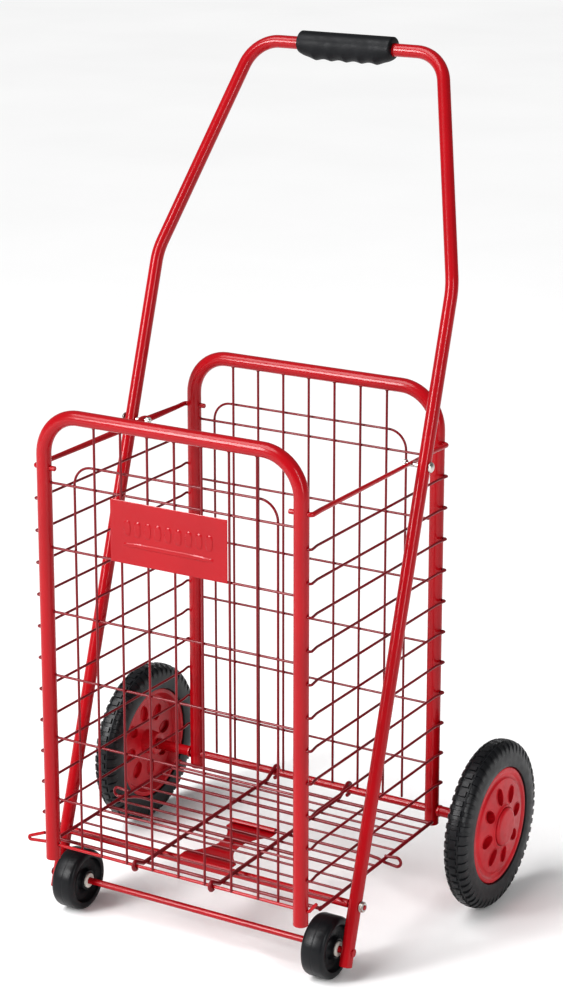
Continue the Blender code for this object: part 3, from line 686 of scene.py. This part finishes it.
def thick_rod_path(side, z):
    """Right through both legs, with closely set points where the rod is pressed flat at the pivot."""
    start_x = LEG_X - TOP_END_IN
    out_x = TOP_ROD_X + TOP_END_BULGE
    run = 0.020
    points = ((start_x, FRONT_Y), (out_x, FRONT_Y), (TOP_ROD_X, FRONT_Y + run),
              (TOP_ROD_X, REAR_Y - run), (out_x, REAR_Y), (start_x, REAR_Y))
    path = rounded([(side * x, y, z) for x, y in points], (TOP_END_BEND_R, 0.03, 0.03, TOP_END_BEND_R), 8)
    pivot = HANDLE_PIVOT[0]
    split = next(k for k, p in enumerate(path) if p.y > pivot)
    flat = [Vector((side * TOP_ROD_X, pivot + step * 0.0012, z)) for step in range(-8, 9)]
    return path[:split] + flat + path[split:]


def eye_squash(point):
    """The thick rod is pressed flat into an eye round the handle's pivot bolt."""
    off = abs(point.y - HANDLE_PIVOT[0])
    if off > EYE_REACH or abs(point.x) < TOP_ROD_X - 0.001:
        return 1.0, 1.0
    share = max(0.0, 1.0 - (off / EYE_REACH) ** 2) ** 0.5
    return 1.0 - EYE_FLATTENING * min(1.0, share * 1.6), 1.0 + (TOP_ROD_EYE_R / TOP_ROD_R - 1.0) * share


def side_rod(level, word, side):
    name = f"side_rod_{level + 1:02d}_{word}"
    shape = Shape()
    if level == 0:
        look = TUBE_ENAMEL
        hole = Shape()
        hole_x(hole, side * (TOP_ROD_X - 0.01), side * (TOP_ROD_X + 0.01), HANDLE_PIVOT, PIVOT_BOLT_R)
        rod(shape, thick_rod_path(side, level_z(level)), TOP_ROD_R, 18, 0.0006, eye_squash)
    else:
        look = WIRE_ENAMEL_PAINTED_SHADE
        hole = None
        rod(shape, thin_rod_path(side, level_z(level)), ROD_R)
    place(name + "_bent", shape, look, f"link_{level + 1:02d}", name, hole)


for level in range(LEVELS):
    for word, side in SIDES:
        side_rod(level, word, side)


# Rear axle, spacers and wheels


REAR_AXLE = (REAR_Y, AXLE_Z)
SPACER_WAIST = 0.0008


def rear_axle():
    """A bar with chamfered ends, and a waisted sleeve on each side that keeps the wheel off the leg."""
    shape = Shape()
    rod(shape, [(-AXLE_END, REAR_Y, AXLE_Z), (AXLE_END, REAR_Y, AXLE_Z)], AXLE_R, 28, 0.0008)
    place("rear_axle_bar", shape, TUBE_ENAMEL, "rear_frame", "rear_axle")
    for word, side in SIDES:
        name = f"axle_spacer_{word}"
        inner, outer = span_x(name)
        radius = half_size(name, 1)
        waist = radius - SPACER_WAIST
        outline = [(inner, AXLE_R + HOLE_GAP), (inner, radius), (inner + 0.003, radius), (inner + 0.004, waist),
                   (outer - 0.004, waist), (outer - 0.003, radius), (outer, radius), (outer, AXLE_R + HOLE_GAP)]
        spacer = Shape()
        turned(spacer, sided(softened(outline, 0.0005), side), REAR_AXLE, 32)
        place(name + "_sleeve", spacer, TUBE_ENAMEL, "rear_frame", name)


rear_axle()

TREAD_BLOCKS = 54
BLOCK_RISE = 0.0021
SHOULDER_BLOCK = (0.04, 0.58)  # where a block starts and ends, in shares of the pitch
CENTRE_BLOCK = (0.54, 1.08)
TREAD_STOPS = (0.0, 0.05, 0.07, 0.12, 0.5, 0.55, 0.57, 0.62)  # the surface's points, closest at the blocks' ends


def in_block(share, block):
    low, high = block
    return low <= share <= high or low <= share + 1 <= high


def tread_profile():
    """Half of a tyre's section, from the rim seat to the crown: (share of half width, radius, block row, rise)."""
    crown = REAR_WHEEL_R - BLOCK_RISE
    seat = RIM_R + HOLE_GAP
    wall = [(0.82, seat), (0.94, seat + 0.0008), (1.00, seat + 0.0050), (1.00, seat + 0.0130), (0.96, crown - 0.0130)]
    shoulder = [(0.91, 0.0092, 0.3), (0.82, 0.0056, 0.7), (0.66, 0.0028, 0.9), (0.45, 0.0009, 1.0)]
    groove = [(0.41, 0.0007), (0.31, 0.0004)]
    centre = [(0.27, 0.0003), (0.00, 0.0)]
    return ([(share, radius, None, 0.0) for share, radius in wall]
            + [(share, crown - drop, SHOULDER_BLOCK, high * BLOCK_RISE) for share, drop, high in shoulder]
            + [(share, crown - drop, None, 0.0) for share, drop in groove]
            + [(share, crown - drop, CENTRE_BLOCK, BLOCK_RISE) for share, drop in centre])


def tyre(word, side):
    """A carcass with three rows of raised tread blocks, the middle row half a pitch behind the others."""
    centre_x = (TYRE_IN + TYRE_OUT) / 2
    half_width = (TYRE_OUT - TYRE_IN) / 2
    half = tread_profile()
    profile = [(-share, r, block, rise) for share, r, block, rise in half] + half[-2::-1]
    points = [Vector((share * half_width, r)) for share, r, _, _ in profile]
    columns = [(k + stop) / TREAD_BLOCKS for k in range(TREAD_BLOCKS) for stop in TREAD_STOPS]
    rows = []
    for k, (_, _, block, rise) in enumerate(profile):
        before = points[max(k - 1, 0)]
        after = points[min(k + 1, len(points) - 1)]
        run = (after - before).normalized()
        outward = Vector((-run.y, run.x))
        row = []
        for column in columns:
            share = column * TREAD_BLOCKS % 1.0
            raised = rise if block and in_block(share, block) else 0.0
            at = points[k] + outward * raised
            row.append((side * (centre_x + at.x), *polar(REAR_AXLE, at.y, 2 * math.pi * column)))
        rows.append(row)
    shape = Shape()
    shape.skin(rows, along=True)
    name = f"rear_tyre_{word}"
    place(name + "_tread", shape, TYRE_RUBBER, f"rear_wheel_{word}", name, sharp=28)


POCKETS = 8
POCKET_RING = 0.041  # from the axle to a pocket's middle
POCKET_LONG = 0.0112
POCKET_WIDE = 0.0075
POCKET_PHASE = 0.2  # of the pitch between two pockets
POCKET_FLOOR = 0.002
INNER_POCKET = 0.004  # depth of the pockets in the web's inner face
POCKET_EDGE_R = 0.0007
RIM_LIP = TYRE_OUT - 0.002
BOSS_R = 0.0272
CAP_SEAT_R = CAP_R + 2 * HOLE_GAP
WEB_IN = RIM_LIP - 0.016


def web_outside():
    """Outer face of a rim from the boss to the lip: (x, radius). It flares from the boss and ends in a groove."""
    boss = [(BOSS_FACE, CAP_SEAT_R), (BOSS_FACE, BOSS_R - 0.0012), (BOSS_FACE - 0.0005, BOSS_R - 0.0003)]
    past_lip = [(0.0046, BOSS_R + 0.0006), (0.0037, 0.0300), (0.0030, 0.0335), (0.0022, 0.0400), (0.0014, 0.0480),
                (0.0008, 0.0560), (0.0002, 0.0590), (-0.0012, 0.0606), (-0.0019, 0.0622), (-0.0019, 0.0645),
                (-0.0011, 0.0661), (-0.0002, 0.0676), (0.0, 0.0700), (-0.0004, RIM_R - 0.0010), (-0.0014, RIM_R)]
    return boss + [(RIM_LIP + past, radius) for past, radius in past_lip]


def web_inside():
    """Inner face of a rim from the tyre seat to the hub: (x, radius)."""
    return [(TYRE_IN + 0.0030, RIM_R), (TYRE_IN + 0.0030, RIM_R - 0.0055), (WEB_IN, RIM_R - 0.0110),
            (WEB_IN, 0.0165), (HUB_IN, 0.0140)]


def face_x(outline, radius):
    """Where an outline of (x, radius) points, in order of radius, stands at one radius."""
    for (x_one, r_one), (x_two, r_two) in zip(outline, outline[1:]):
        if r_one <= radius <= r_two:
            return x_one + (x_two - x_one) * (radius - r_one) / max(r_two - r_one, 1e-9)
    return outline[-1][0]


def oval_ring(k, x_at, grow=0.0):
    """Points round the k-th oval pocket of a rim; x_at gives x from the distance to the axle."""
    a = 2 * math.pi * (k + POCKET_PHASE) / POCKETS
    points = []
    for b in full_turn(28):
        out = POCKET_RING + (POCKET_LONG + grow) * math.cos(b)
        along = (POCKET_WIDE + grow) * math.sin(b)
        y = out * math.cos(a) - along * math.sin(a)
        z = out * math.sin(a) + along * math.cos(a)
        points.append(Vector((x_at(math.hypot(out, along)), REAR_Y + y, AXLE_Z + z)))
    return points


def rim(word, side):
    """Moulded rim: a proud boss, a flared web with oval pockets that have rolled edges, a groove and a tyre seat."""
    bore = AXLE_R + HOLE_GAP
    outside = web_outside()
    inside = web_inside()
    outline = outside + inside + [(HUB_IN, bore), (CAP_IN - GAP, bore), (CAP_IN - GAP, CAP_SEAT_R)]
    shape = Shape()
    turned(shape, sided(softened(outline, 0.0008, 2), side), REAR_AXLE, 96)
    pockets = Shape()
    floor_in = WEB_IN + INNER_POCKET
    spans = ((TYRE_IN - 0.001, floor_in), (floor_in + POCKET_FLOOR, CAP_FACE + 0.01))
    for k in range(POCKETS):
        for span in spans:
            pockets.solid([oval_ring(k, lambda _: side * x) for x in span])
    rolled = Shape()
    for k in range(POCKETS):
        for face in (outside, inside[::-1]):
            path = oval_ring(k, lambda radius: side * face_x(face, radius), POCKET_EDGE_R - 0.0002)
            rolled.skin(rings_along([*path, path[0]], POCKET_EDGE_R, 8)[:-1], along=True)
    name = f"rear_rim_{word}"
    place(name + "_moulding", shape, RIM_PLASTIC, f"rear_wheel_{word}", name, pockets)
    place(name + "_hole_edges", rolled, RIM_PLASTIC, f"rear_wheel_{word}", name)


def hub_cap(word, side):
    """A pressed-in cap: a big smooth button with a rounded edge and a slightly domed face."""
    bore = AXLE_R + HOLE_GAP
    edge_r = 0.0055
    edge_x = 0.0036
    outline = [(AXLE_END + HOLE_GAP, TIP_R), (AXLE_END + HOLE_GAP, bore), (CAP_IN, bore),
               (CAP_IN, CAP_R - 0.0004), (CAP_IN + 0.0004, CAP_R)]
    shoulder = CAP_FACE - edge_x - 0.0006
    for a in sweep(0, 90, 8):
        outline.append((shoulder + edge_x * math.sin(a), CAP_R - edge_r + edge_r * math.cos(a)))
    outline += [(CAP_FACE - 0.0003, 0.0120), (CAP_FACE - 0.0001, 0.0060), (CAP_FACE, TIP_R)]
    shape = Shape()
    turned(shape, sided(outline, side), REAR_AXLE, 72)
    name = f"hub_cap_{word}"
    place(name + "_dome", shape, RIM_PLASTIC, f"rear_wheel_{word}", name)


for word, side in SIDES:
    tyre(word, side)
    rim(word, side)
    hub_cap(word, side)


# Floor tray


TRAY_SIDE_X = 0.1872
TRAY_INSET = 0.026
THICK_WIRE_R = 0.0022
RUNNER_X = 0.054
RUNNER_R = 0.0025
RUNNER_Z = TRAY_Z + 0.0031
TRAY_LOOP_OUT = 0.0215
TRAY_LOOP_R = 0.0058
TRAY_MIDDLE_R = 0.0019
TRAY_FRONT_STOP = LINK_PIVOT[0] - 0.0455  # the two thick wires between the tray's edges
TRAY_REAR_STOP = FRONT_Y + 0.236


def runner(shape, x):
    """A lengthwise rod with a hook over the front bottom rod and another over the rear axle."""
    path = [polar((FRONT_Y, AXLE_Z), BOTTOM_ROD_R + GAP + RUNNER_R, a) for a in sweep(300, 90, 16)]
    path += [(FRONT_Y + TRAY_INSET - 0.010, RUNNER_Z), (REAR_Y - TRAY_INSET + 0.004, RUNNER_Z)]
    path += [polar(REAR_AXLE, AXLE_R + GAP + RUNNER_R, a) for a in sweep(100, -110, 18)]
    rod(shape, [(x, y, z) for y, z in path], RUNNER_R, 14)


def floor_tray():
    """Cross wires in two thicknesses, side wires, runner rods and the two loops that end the middle rod."""
    shape = Shape()
    front = FRONT_Y + TRAY_INSET
    rear = REAR_Y - TRAY_INSET
    side_z = TRAY_Z + 0.0006
    cross = [(y, THICK_WIRE_R) for y in (front, TRAY_FRONT_STOP, TRAY_REAR_STOP, rear)]
    thin_wires = ((front, TRAY_FRONT_STOP, 3), (TRAY_FRONT_STOP, LINK_PIVOT[0], 1),
                  (LINK_PIVOT[0], TRAY_REAR_STOP, 1), (TRAY_REAR_STOP, rear, 2))
    for start, stop, count in thin_wires:
        for k in range(count):
            cross.append((start + (stop - start) * (k + 1) / (count + 1), WIRE_R))
    for y, radius in cross:
        rod(shape, [(-TRAY_SIDE_X - 0.001, y, TRAY_Z), (TRAY_SIDE_X + 0.001, y, TRAY_Z)], radius)
        for x in (-TRAY_SIDE_X, -RUNNER_X, RUNNER_X, TRAY_SIDE_X):
            nugget(shape, (x, y, TRAY_Z + 0.0012), radius * 1.15)
    loop_y, loop_z = LINK_PIVOT
    turn_x = TRAY_SIDE_X + TRAY_LOOP_OUT - TRAY_LOOP_R
    half = [Vector((TRAY_SIDE_X - 0.020, loop_y, loop_z)), Vector((TRAY_SIDE_X - 0.010, loop_y, loop_z - 0.0012)),
            Vector((TRAY_SIDE_X, loop_y, loop_z - 0.0042))]
    for a in sweep(-90, 90, 12):
        half.append(Vector((turn_x + TRAY_LOOP_R * math.cos(a), loop_y, loop_z + TRAY_LOOP_R * math.sin(a))))
    half.append(Vector((TRAY_SIDE_X - 0.0005, loop_y, side_z + THICK_WIRE_R + 0.0010)))
    rod(shape, mirrored(half) + half, TRAY_MIDDLE_R, 14)
    for _, side in SIDES:
        ends = [(side * TRAY_SIDE_X, front - 0.004, side_z), (side * TRAY_SIDE_X, rear + 0.004, side_z)]
        rod(shape, ends, THICK_WIRE_R, 14)
        runner(shape, side * RUNNER_X)
    place("floor_tray_wires", shape, WIRE_ENAMEL_PAINTED_SHADE, "tray", "floor_tray")


floor_tray()


# Link plate


LINK_ROD_R = 0.0022
LINK_T = 0.0012
LINK_FRONT_HALF = 0.037
LINK_REAR_HALF = 0.033
LINK_WAIST_HALF = 0.014
LINK_WAIST_LONG = 0.80  # of the way between the two pivots
LINK_EDGE = 0.0004


def link_plate():
    """A waisted sheet with its front edge curled over the cross rod and its rear edge round the tray's rod."""
    front_reach = CROSS_ROD_R + GAP + LINK_T / 2
    rear_reach = LINK_ROD_R + GAP + LINK_T / 2
    rows = [(*polar(CROSS_ROD, front_reach, a), LINK_FRONT_HALF, a) for a in sweep(215, 90, 12)]
    sheet_z = LINK_PIVOT[1] - rear_reach
    for k in range(1, 32):
        share = k / 32
        y = CROSS_ROD[0] + (LINK_PIVOT[0] - CROSS_ROD[0]) * share
        flank = abs(share - 0.5) * 2
        wide = LINK_FRONT_HALF if share < 0.5 else LINK_REAR_HALF
        half = LINK_WAIST_HALF + (wide - LINK_WAIST_HALF) * min(1.0, (flank / LINK_WAIST_LONG) ** 2.2)
        ease = share * share * (3 - 2 * share)
        z = CROSS_ROD[1] + front_reach + (sheet_z - CROSS_ROD[1] - front_reach) * ease
        rows.append((y, z, half, math.pi / 2))
    rows += [(*polar(LINK_PIVOT, rear_reach, a), LINK_REAR_HALF, a + math.pi) for a in sweep(-90, 180, 16)]
    shape = Shape()
    rings = []
    for y, z, half, a in rows:
        out_y, out_z = math.cos(a) * LINK_T / 2, math.sin(a) * LINK_T / 2
        flat = half - LINK_EDGE
        section = ((-flat, 1), (flat, 1), (half, 0.4), (half, -0.4), (flat, -1), (-flat, -1), (-half, -0.4),
                   (-half, 0.4))
        rings.append([(x, y + out_y * off, z + out_z * off) for x, off in section])
    shape.solid(rings)
    place("link_plate_sheet", shape, TUBE_ENAMEL, "plate", "link_plate")


link_plate()


# Handle frame


HANDLE_HOLE_BAND = 0.009


def handle_y(z):
    """The handle's legs lean back: the y of their middle line at a height under the knees."""
    return FRONT_AXLE[0] + HANDLE_SLOPE * (z - FRONT_AXLE[1])


def handle_frame():
    """One long U of tube: straight legs, knees, converging upper legs and a level top bar."""
    foot = Vector((HANDLE_HALF, handle_y(HANDLE_FOOT_Z), HANDLE_FOOT_Z))
    knee = Vector((HANDLE_HALF, handle_y(KNEE_Z), KNEE_Z))
    corner = Vector((HANDLE_TOP_HALF, HANDLE_TOP_Y, HANDLE_TOP))
    top = Vector((0, HANDLE_TOP_Y, HANDLE_TOP))
    half = [foot]
    for _, hole_z in (FRONT_AXLE, CROSS_ROD, HANDLE_PIVOT):
        for z in (hole_z - HANDLE_HOLE_BAND, hole_z + HANDLE_HOLE_BAND):
            half.append(Vector((HANDLE_HALF, handle_y(z), z)))
    half += fillet(foot, knee, corner, KNEE_R, 14)
    half += fillet(knee, corner, top, HANDLE_CORNER, 14)
    shape = Shape()
    tube(shape, half + mirrored(half), HANDLE_R, HANDLE_WALL)
    holes = Shape()
    reach = HANDLE_R + DRILL_PAST
    sizes = ((HANDLE_PIVOT, PIVOT_BOLT_R), (CROSS_ROD, CROSS_ROD_END_R), (FRONT_AXLE, FRONT_AXLE_R))
    for _, side in SIDES:
        for centre, radius in sizes:
            hole_x(holes, side * (HANDLE_HALF - reach), side * (HANDLE_HALF + reach), centre, radius)
    place("handle_tube_bent", shape, TUBE_ENAMEL, "handle", "handle_tube", holes, sharp=32)


handle_frame()

RIDGE_PITCH = 0.0213
RIDGE_HEIGHT = 0.0019
GRIP_CHAMFER = 0.0016
GRIP_DROP = 0.0040  # how much deeper the grip is under the tube than above it
GRIP_END_R = 0.0112  # its underside's radius at the two ends
GRIP_TAPER = 0.024


def grip_radius(x, angle):
    """Radius of the grip at x; the angle is measured from +Y towards +Z. The finger ridges face down."""
    edge = GRIP_HALF - abs(x)
    taper = 1.0 - (1.0 - min(1.0, edge / GRIP_TAPER)) ** 2.2
    ridge = 1.0 - abs(math.sin(math.pi * x / RIDGE_PITCH)) ** 1.2
    deepest = GRIP_R + GRIP_DROP - RIDGE_HEIGHT * (1.0 - ridge)
    under = GRIP_END_R + (deepest - GRIP_END_R) * taper
    share = max(0.0, -math.sin(angle)) ** 1.5
    chamfer = GRIP_CHAMFER * max(0.0, 1.0 - edge / GRIP_CHAMFER) ** 2
    return GRIP_R + (under - GRIP_R) * share - chamfer


def grip():
    """A moulded sleeve round the top bar."""
    columns = 181
    sides = 56
    centre = (HANDLE_TOP_Y, HANDLE_TOP)
    bore = HANDLE_R + HOLE_GAP
    rows = []
    for k in range(columns):
        x = -GRIP_HALF + 2 * GRIP_HALF * k / (columns - 1)
        rows.append([(x, *polar(centre, grip_radius(x, a), a)) for a in full_turn(sides)])
    rows += turned_rows([(GRIP_HALF, bore), (-GRIP_HALF, bore)], centre, sides)
    shape = Shape()
    shape.skin(rows, along=True)
    place("grip_moulding", shape, GRIP_PLASTIC, "handle", "grip")


grip()


# Cross rod, front axle and their fasteners


THREAD_PITCH = 0.0007
CROSS_NUT_R = 0.0062  # to the corners
WASHER_R = 0.0066
WASHER_T = 0.0008
BOLT_HEAD_R = 0.0065
LOCK_NUT_R = 0.0052


def threads(x_from, x_to, radius):
    """Ridged outline of a threaded end, from the inner x to the outer."""
    points = []
    for k in range(int((x_to - x_from) / THREAD_PITCH)):
        x = x_from + THREAD_PITCH * k
        points += [(x, radius - 0.0003), (x + THREAD_PITCH / 2, radius)]
    points.append((x_to, radius - 0.0005))
    return points


def cross_rod():
    """A round bar between the handle's legs whose thinner threaded ends go through them."""
    shoulder = HANDLE_HALF - HANDLE_R - GAP
    face = HANDLE_HALF + HANDLE_R
    right = [(shoulder - 0.0006, CROSS_ROD_R), (shoulder, CROSS_ROD_R - 0.0006), (shoulder, CROSS_ROD_END_R),
             (face, CROSS_ROD_END_R)]
    right += threads(face + 0.0004, CROSS_ROD_END, CROSS_ROD_END_R)
    shape = Shape()
    turned_solid(shape, doubled(right), CROSS_ROD, 28)
    place("cross_rod_bar", shape, TUBE_ENAMEL, "handle", "cross_rod")


def front_axle():
    shape = Shape()
    ends = [(-FRONT_AXLE_END, *FRONT_AXLE), (FRONT_AXLE_END, *FRONT_AXLE)]
    rod(shape, ends, FRONT_AXLE_R, 28, 0.0006)
    place("front_axle_bar", shape, TUBE_ENAMEL, "handle", "front_axle")


def hex_nut(shape, x_in, x_out, centre, corner_r, bore):
    """Adds a hexagon nut along X with chamfered corners on both faces."""
    flat = corner_r * math.cos(math.pi / 6)
    rows = []
    stations = ((0.0, flat * 0.94), (0.0, flat * 0.98), (0.10, corner_r), (0.90, corner_r), (1.0, flat * 0.98),
                (1.0, flat * 0.94), (1.0, bore + 0.0003), (0.94, bore), (0.06, bore), (0.0, bore + 0.0003))
    for share, limit in stations:
        ring = []
        for a in full_turn(72):
            hexagon = flat / math.cos((a % (math.pi / 3)) - math.pi / 6)
            ring.append((x_in + (x_out - x_in) * share, *polar(centre, min(hexagon, limit), a)))
        rows.append(ring)
    shape.skin(rows, along=True)


def cross_rod_nut(word, side):
    """A hexagon nut on a round washer."""
    name = f"cross_rod_nut_{word}"
    inner, outer = span_x(name)
    bore = CROSS_ROD_END_R + HOLE_GAP
    outline = [(inner, bore), (inner, WASHER_R), (inner + WASHER_T, WASHER_R), (inner + WASHER_T, bore)]
    shape = Shape()
    turned(shape, sided(softened(outline, 0.0002), side), CROSS_ROD, 40)
    hex_nut(shape, side * (inner + WASHER_T + 0.0001), side * outer, CROSS_ROD, CROSS_NUT_R, bore)
    place(name + "_hex", shape, ZINC_STEEL, "handle", name)


def pivot_bolt(word, side):
    """A bolt with a domed head outside the handle, and its nut inside the thick side rod."""
    name = f"pivot_bolt_{word}"
    inner, outer = span_x(name)
    face = HANDLE_HALF + HANDLE_R + HOLE_GAP
    brim = face + 0.0004
    outline = [(inner, PIVOT_BOLT_R - 0.0005), *threads(inner + 0.0003, inner + 0.0052, PIVOT_BOLT_R),
               (inner + 0.0054, PIVOT_BOLT_R), (face, PIVOT_BOLT_R), (face, BOLT_HEAD_R - 0.0003),
               (brim, BOLT_HEAD_R)]
    for a in sweep(0, 90, 7)[1:]:
        outline.append((brim + (outer - brim) * math.sin(a), BOLT_HEAD_R * math.cos(a) + TIP_R))
    shape = Shape()
    turned_solid(shape, sided(outline, side), HANDLE_PIVOT, 36)
    place(name + "_dome", shape, ZINC_STEEL, "handle", name)
    name = f"pivot_nut_{word}"
    inner, outer = span_x(name)
    shape = Shape()
    hex_nut(shape, side * inner, side * outer, HANDLE_PIVOT, LOCK_NUT_R, PIVOT_BOLT_R + HOLE_GAP)
    place(name + "_hex", shape, ZINC_STEEL, "handle", name)


def axle_cap(word, side):
    """A domed push cap on the end of the front axle."""
    name = f"axle_cap_{word}"
    inner, outer = span_x(name)
    cap_r = half_size(name, 1)
    rise = outer - inner
    bore = FRONT_AXLE_R + HOLE_GAP
    end = FRONT_AXLE_END + HOLE_GAP
    outline = [(inner, bore), (inner, cap_r), (inner + 0.25 * rise, cap_r), (inner + 0.60 * rise, 0.88 * cap_r),
               (inner + 0.90 * rise, 0.58 * cap_r), (outer, 0.25 * cap_r), (outer, TIP_R), (end, TIP_R), (end, bore)]
    shape = Shape()
    turned(shape, sided(softened(outline, 0.0003), side), FRONT_AXLE, 40)
    place(name + "_dome", shape, TUBE_ENAMEL, "handle", name)


def front_wheel(word, side):
    """A small moulded wheel: rounded tread with a parting line, dished faces with a step, and a flanged bush."""
    half = FRONT_WHEEL_HALF
    tread = FRONT_WHEEL_R
    web = half - 0.0078
    bore = BUSH_R + HOLE_GAP
    face = [(0.0, tread - 0.0001), (0.0004, tread - 0.0001), (0.0006, tread), (0.0010, tread),
            (half - 0.0050, tread), (half - 0.0020, tread - 0.0010), (half - 0.0004, tread - 0.0036),
            (half, tread - 0.0070),
            (half - 0.0006, tread - 0.0088), (half - 0.0066, tread - 0.0104), (web, tread - 0.0122),
            (web, 0.0148), (web + 0.0010, 0.0134), (half - 0.0004, 0.0122), (half, 0.0114),
            (half, bore + 0.0004), (half - 0.0004, bore)]
    centre = side * FRONT_WHEEL_X
    wheel = Shape()
    turned(wheel, [(centre + x, r) for x, r in doubled(face)], FRONT_AXLE, 72)
    name = f"front_wheel_{word}"
    place(name + "_moulding", wheel, WHEEL_PLASTIC, name, name, sharp=50)
    bore = FRONT_AXLE_R + HOLE_GAP
    flange = [(BUSH_HALF - 0.0022, BUSH_R - 0.0006), (BUSH_HALF - 0.0020, BUSH_R), (BUSH_HALF - 0.0004, BUSH_R),
              (BUSH_HALF, BUSH_R - 0.0004), (BUSH_HALF, bore + 0.0004), (BUSH_HALF - 0.0004, bore)]
    bush = Shape()
    turned(bush, [(centre + x, r) for x, r in doubled(flange)], FRONT_AXLE, 40)
    place(f"wheel_bush_{word}_sleeve", bush, BUSH_NYLON, name, f"wheel_bush_{word}")


cross_rod()
front_axle()
for word, side in SIDES:
    cross_rod_nut(word, side)
    pivot_bolt(word, side)
    axle_cap(word, side)
    front_wheel(word, side)


# Floor, light and camera


TROLLEY_MIDDLE = Vector((0, 0, 0.5))


def pale_floor():
    work = bmesh.new()
    bmesh.ops.create_grid(work, x_segments=8, y_segments=8, size=30.0)
    mesh = bpy.data.meshes.new("floor")
    work.to_mesh(mesh)
    work.free()
    floor = new_object("floor", mesh)
    paint = Look("floor_paint")
    paint.tint(paint.noise(1.2), (1.0, 1.0, 1.0), ((0.3, 0.93), (0.7, 0.96)))
    paint.shader.inputs["Roughness"].default_value = 0.85
    paint.shader.inputs["Specular IOR Level"].default_value = 0.2
    mesh.materials.append(paint.material)


def new_light(name, kind, power, place_at, toward):
    data = bpy.data.lights.new(name, kind)
    data.energy = power
    light = new_object(name, data)
    light.location = place_at
    light.rotation_euler = Vector(toward).to_track_quat("-Z", "Y").to_euler()
    return data


def area_light(name, place_at, size, power):
    """A rectangular lamp that is aimed at the middle of the trolley."""
    data = new_light(name, "AREA", power, place_at, TROLLEY_MIDDLE - Vector(place_at))
    data.shape = "RECTANGLE"
    data.size, data.size_y = size


def studio_light():
    """An even white surround, a very soft sun and two lamps that draw highlights along the tubes."""
    world = bpy.data.worlds.new("studio")
    bpy.context.scene.world = world
    world.use_nodes = True
    background = world.node_tree.nodes["Background"]
    background.inputs["Color"].default_value = (1.0, 1.0, 1.0, 1.0)
    background.inputs["Strength"].default_value = 0.24
    sun = new_light("sun", "SUN", 2.2, (0, 0, 0), (0.45, 0.55, -1.15))
    sun.angle = math.radians(40)
    area_light("softbox", (-1.55, -2.75, 1.75), (0.70, 1.5), 68.0)
    area_light("strip", (2.2, -1.2, 1.4), (0.30, 1.8), 24.0)
    bpy.context.scene.view_settings.view_transform = "Standard"
    bpy.context.scene.view_settings.look = "Medium High Contrast"


CAMERA_AZIMUTH = 30.81  # degrees from straight ahead of the trolley, towards its right
CAMERA_ELEVATION = 14.65
CAMERA_PLACE = (1.5366, -2.5379, 1.4419)
CAMERA_LENS = 92.0
CAMERA_SHIFT_Y = -0.12


def camera():
    data = bpy.data.cameras.new("camera")
    data.sensor_fit = "VERTICAL"
    data.sensor_height = 36.0
    data.lens = CAMERA_LENS
    data.shift_y = CAMERA_SHIFT_Y
    made = new_object("camera", data)
    made.location = CAMERA_PLACE
    made.rotation_euler = (math.radians(90 - CAMERA_ELEVATION), 0, math.radians(CAMERA_AZIMUTH))
    bpy.context.scene.camera = made


pale_floor()
studio_light()
camera()
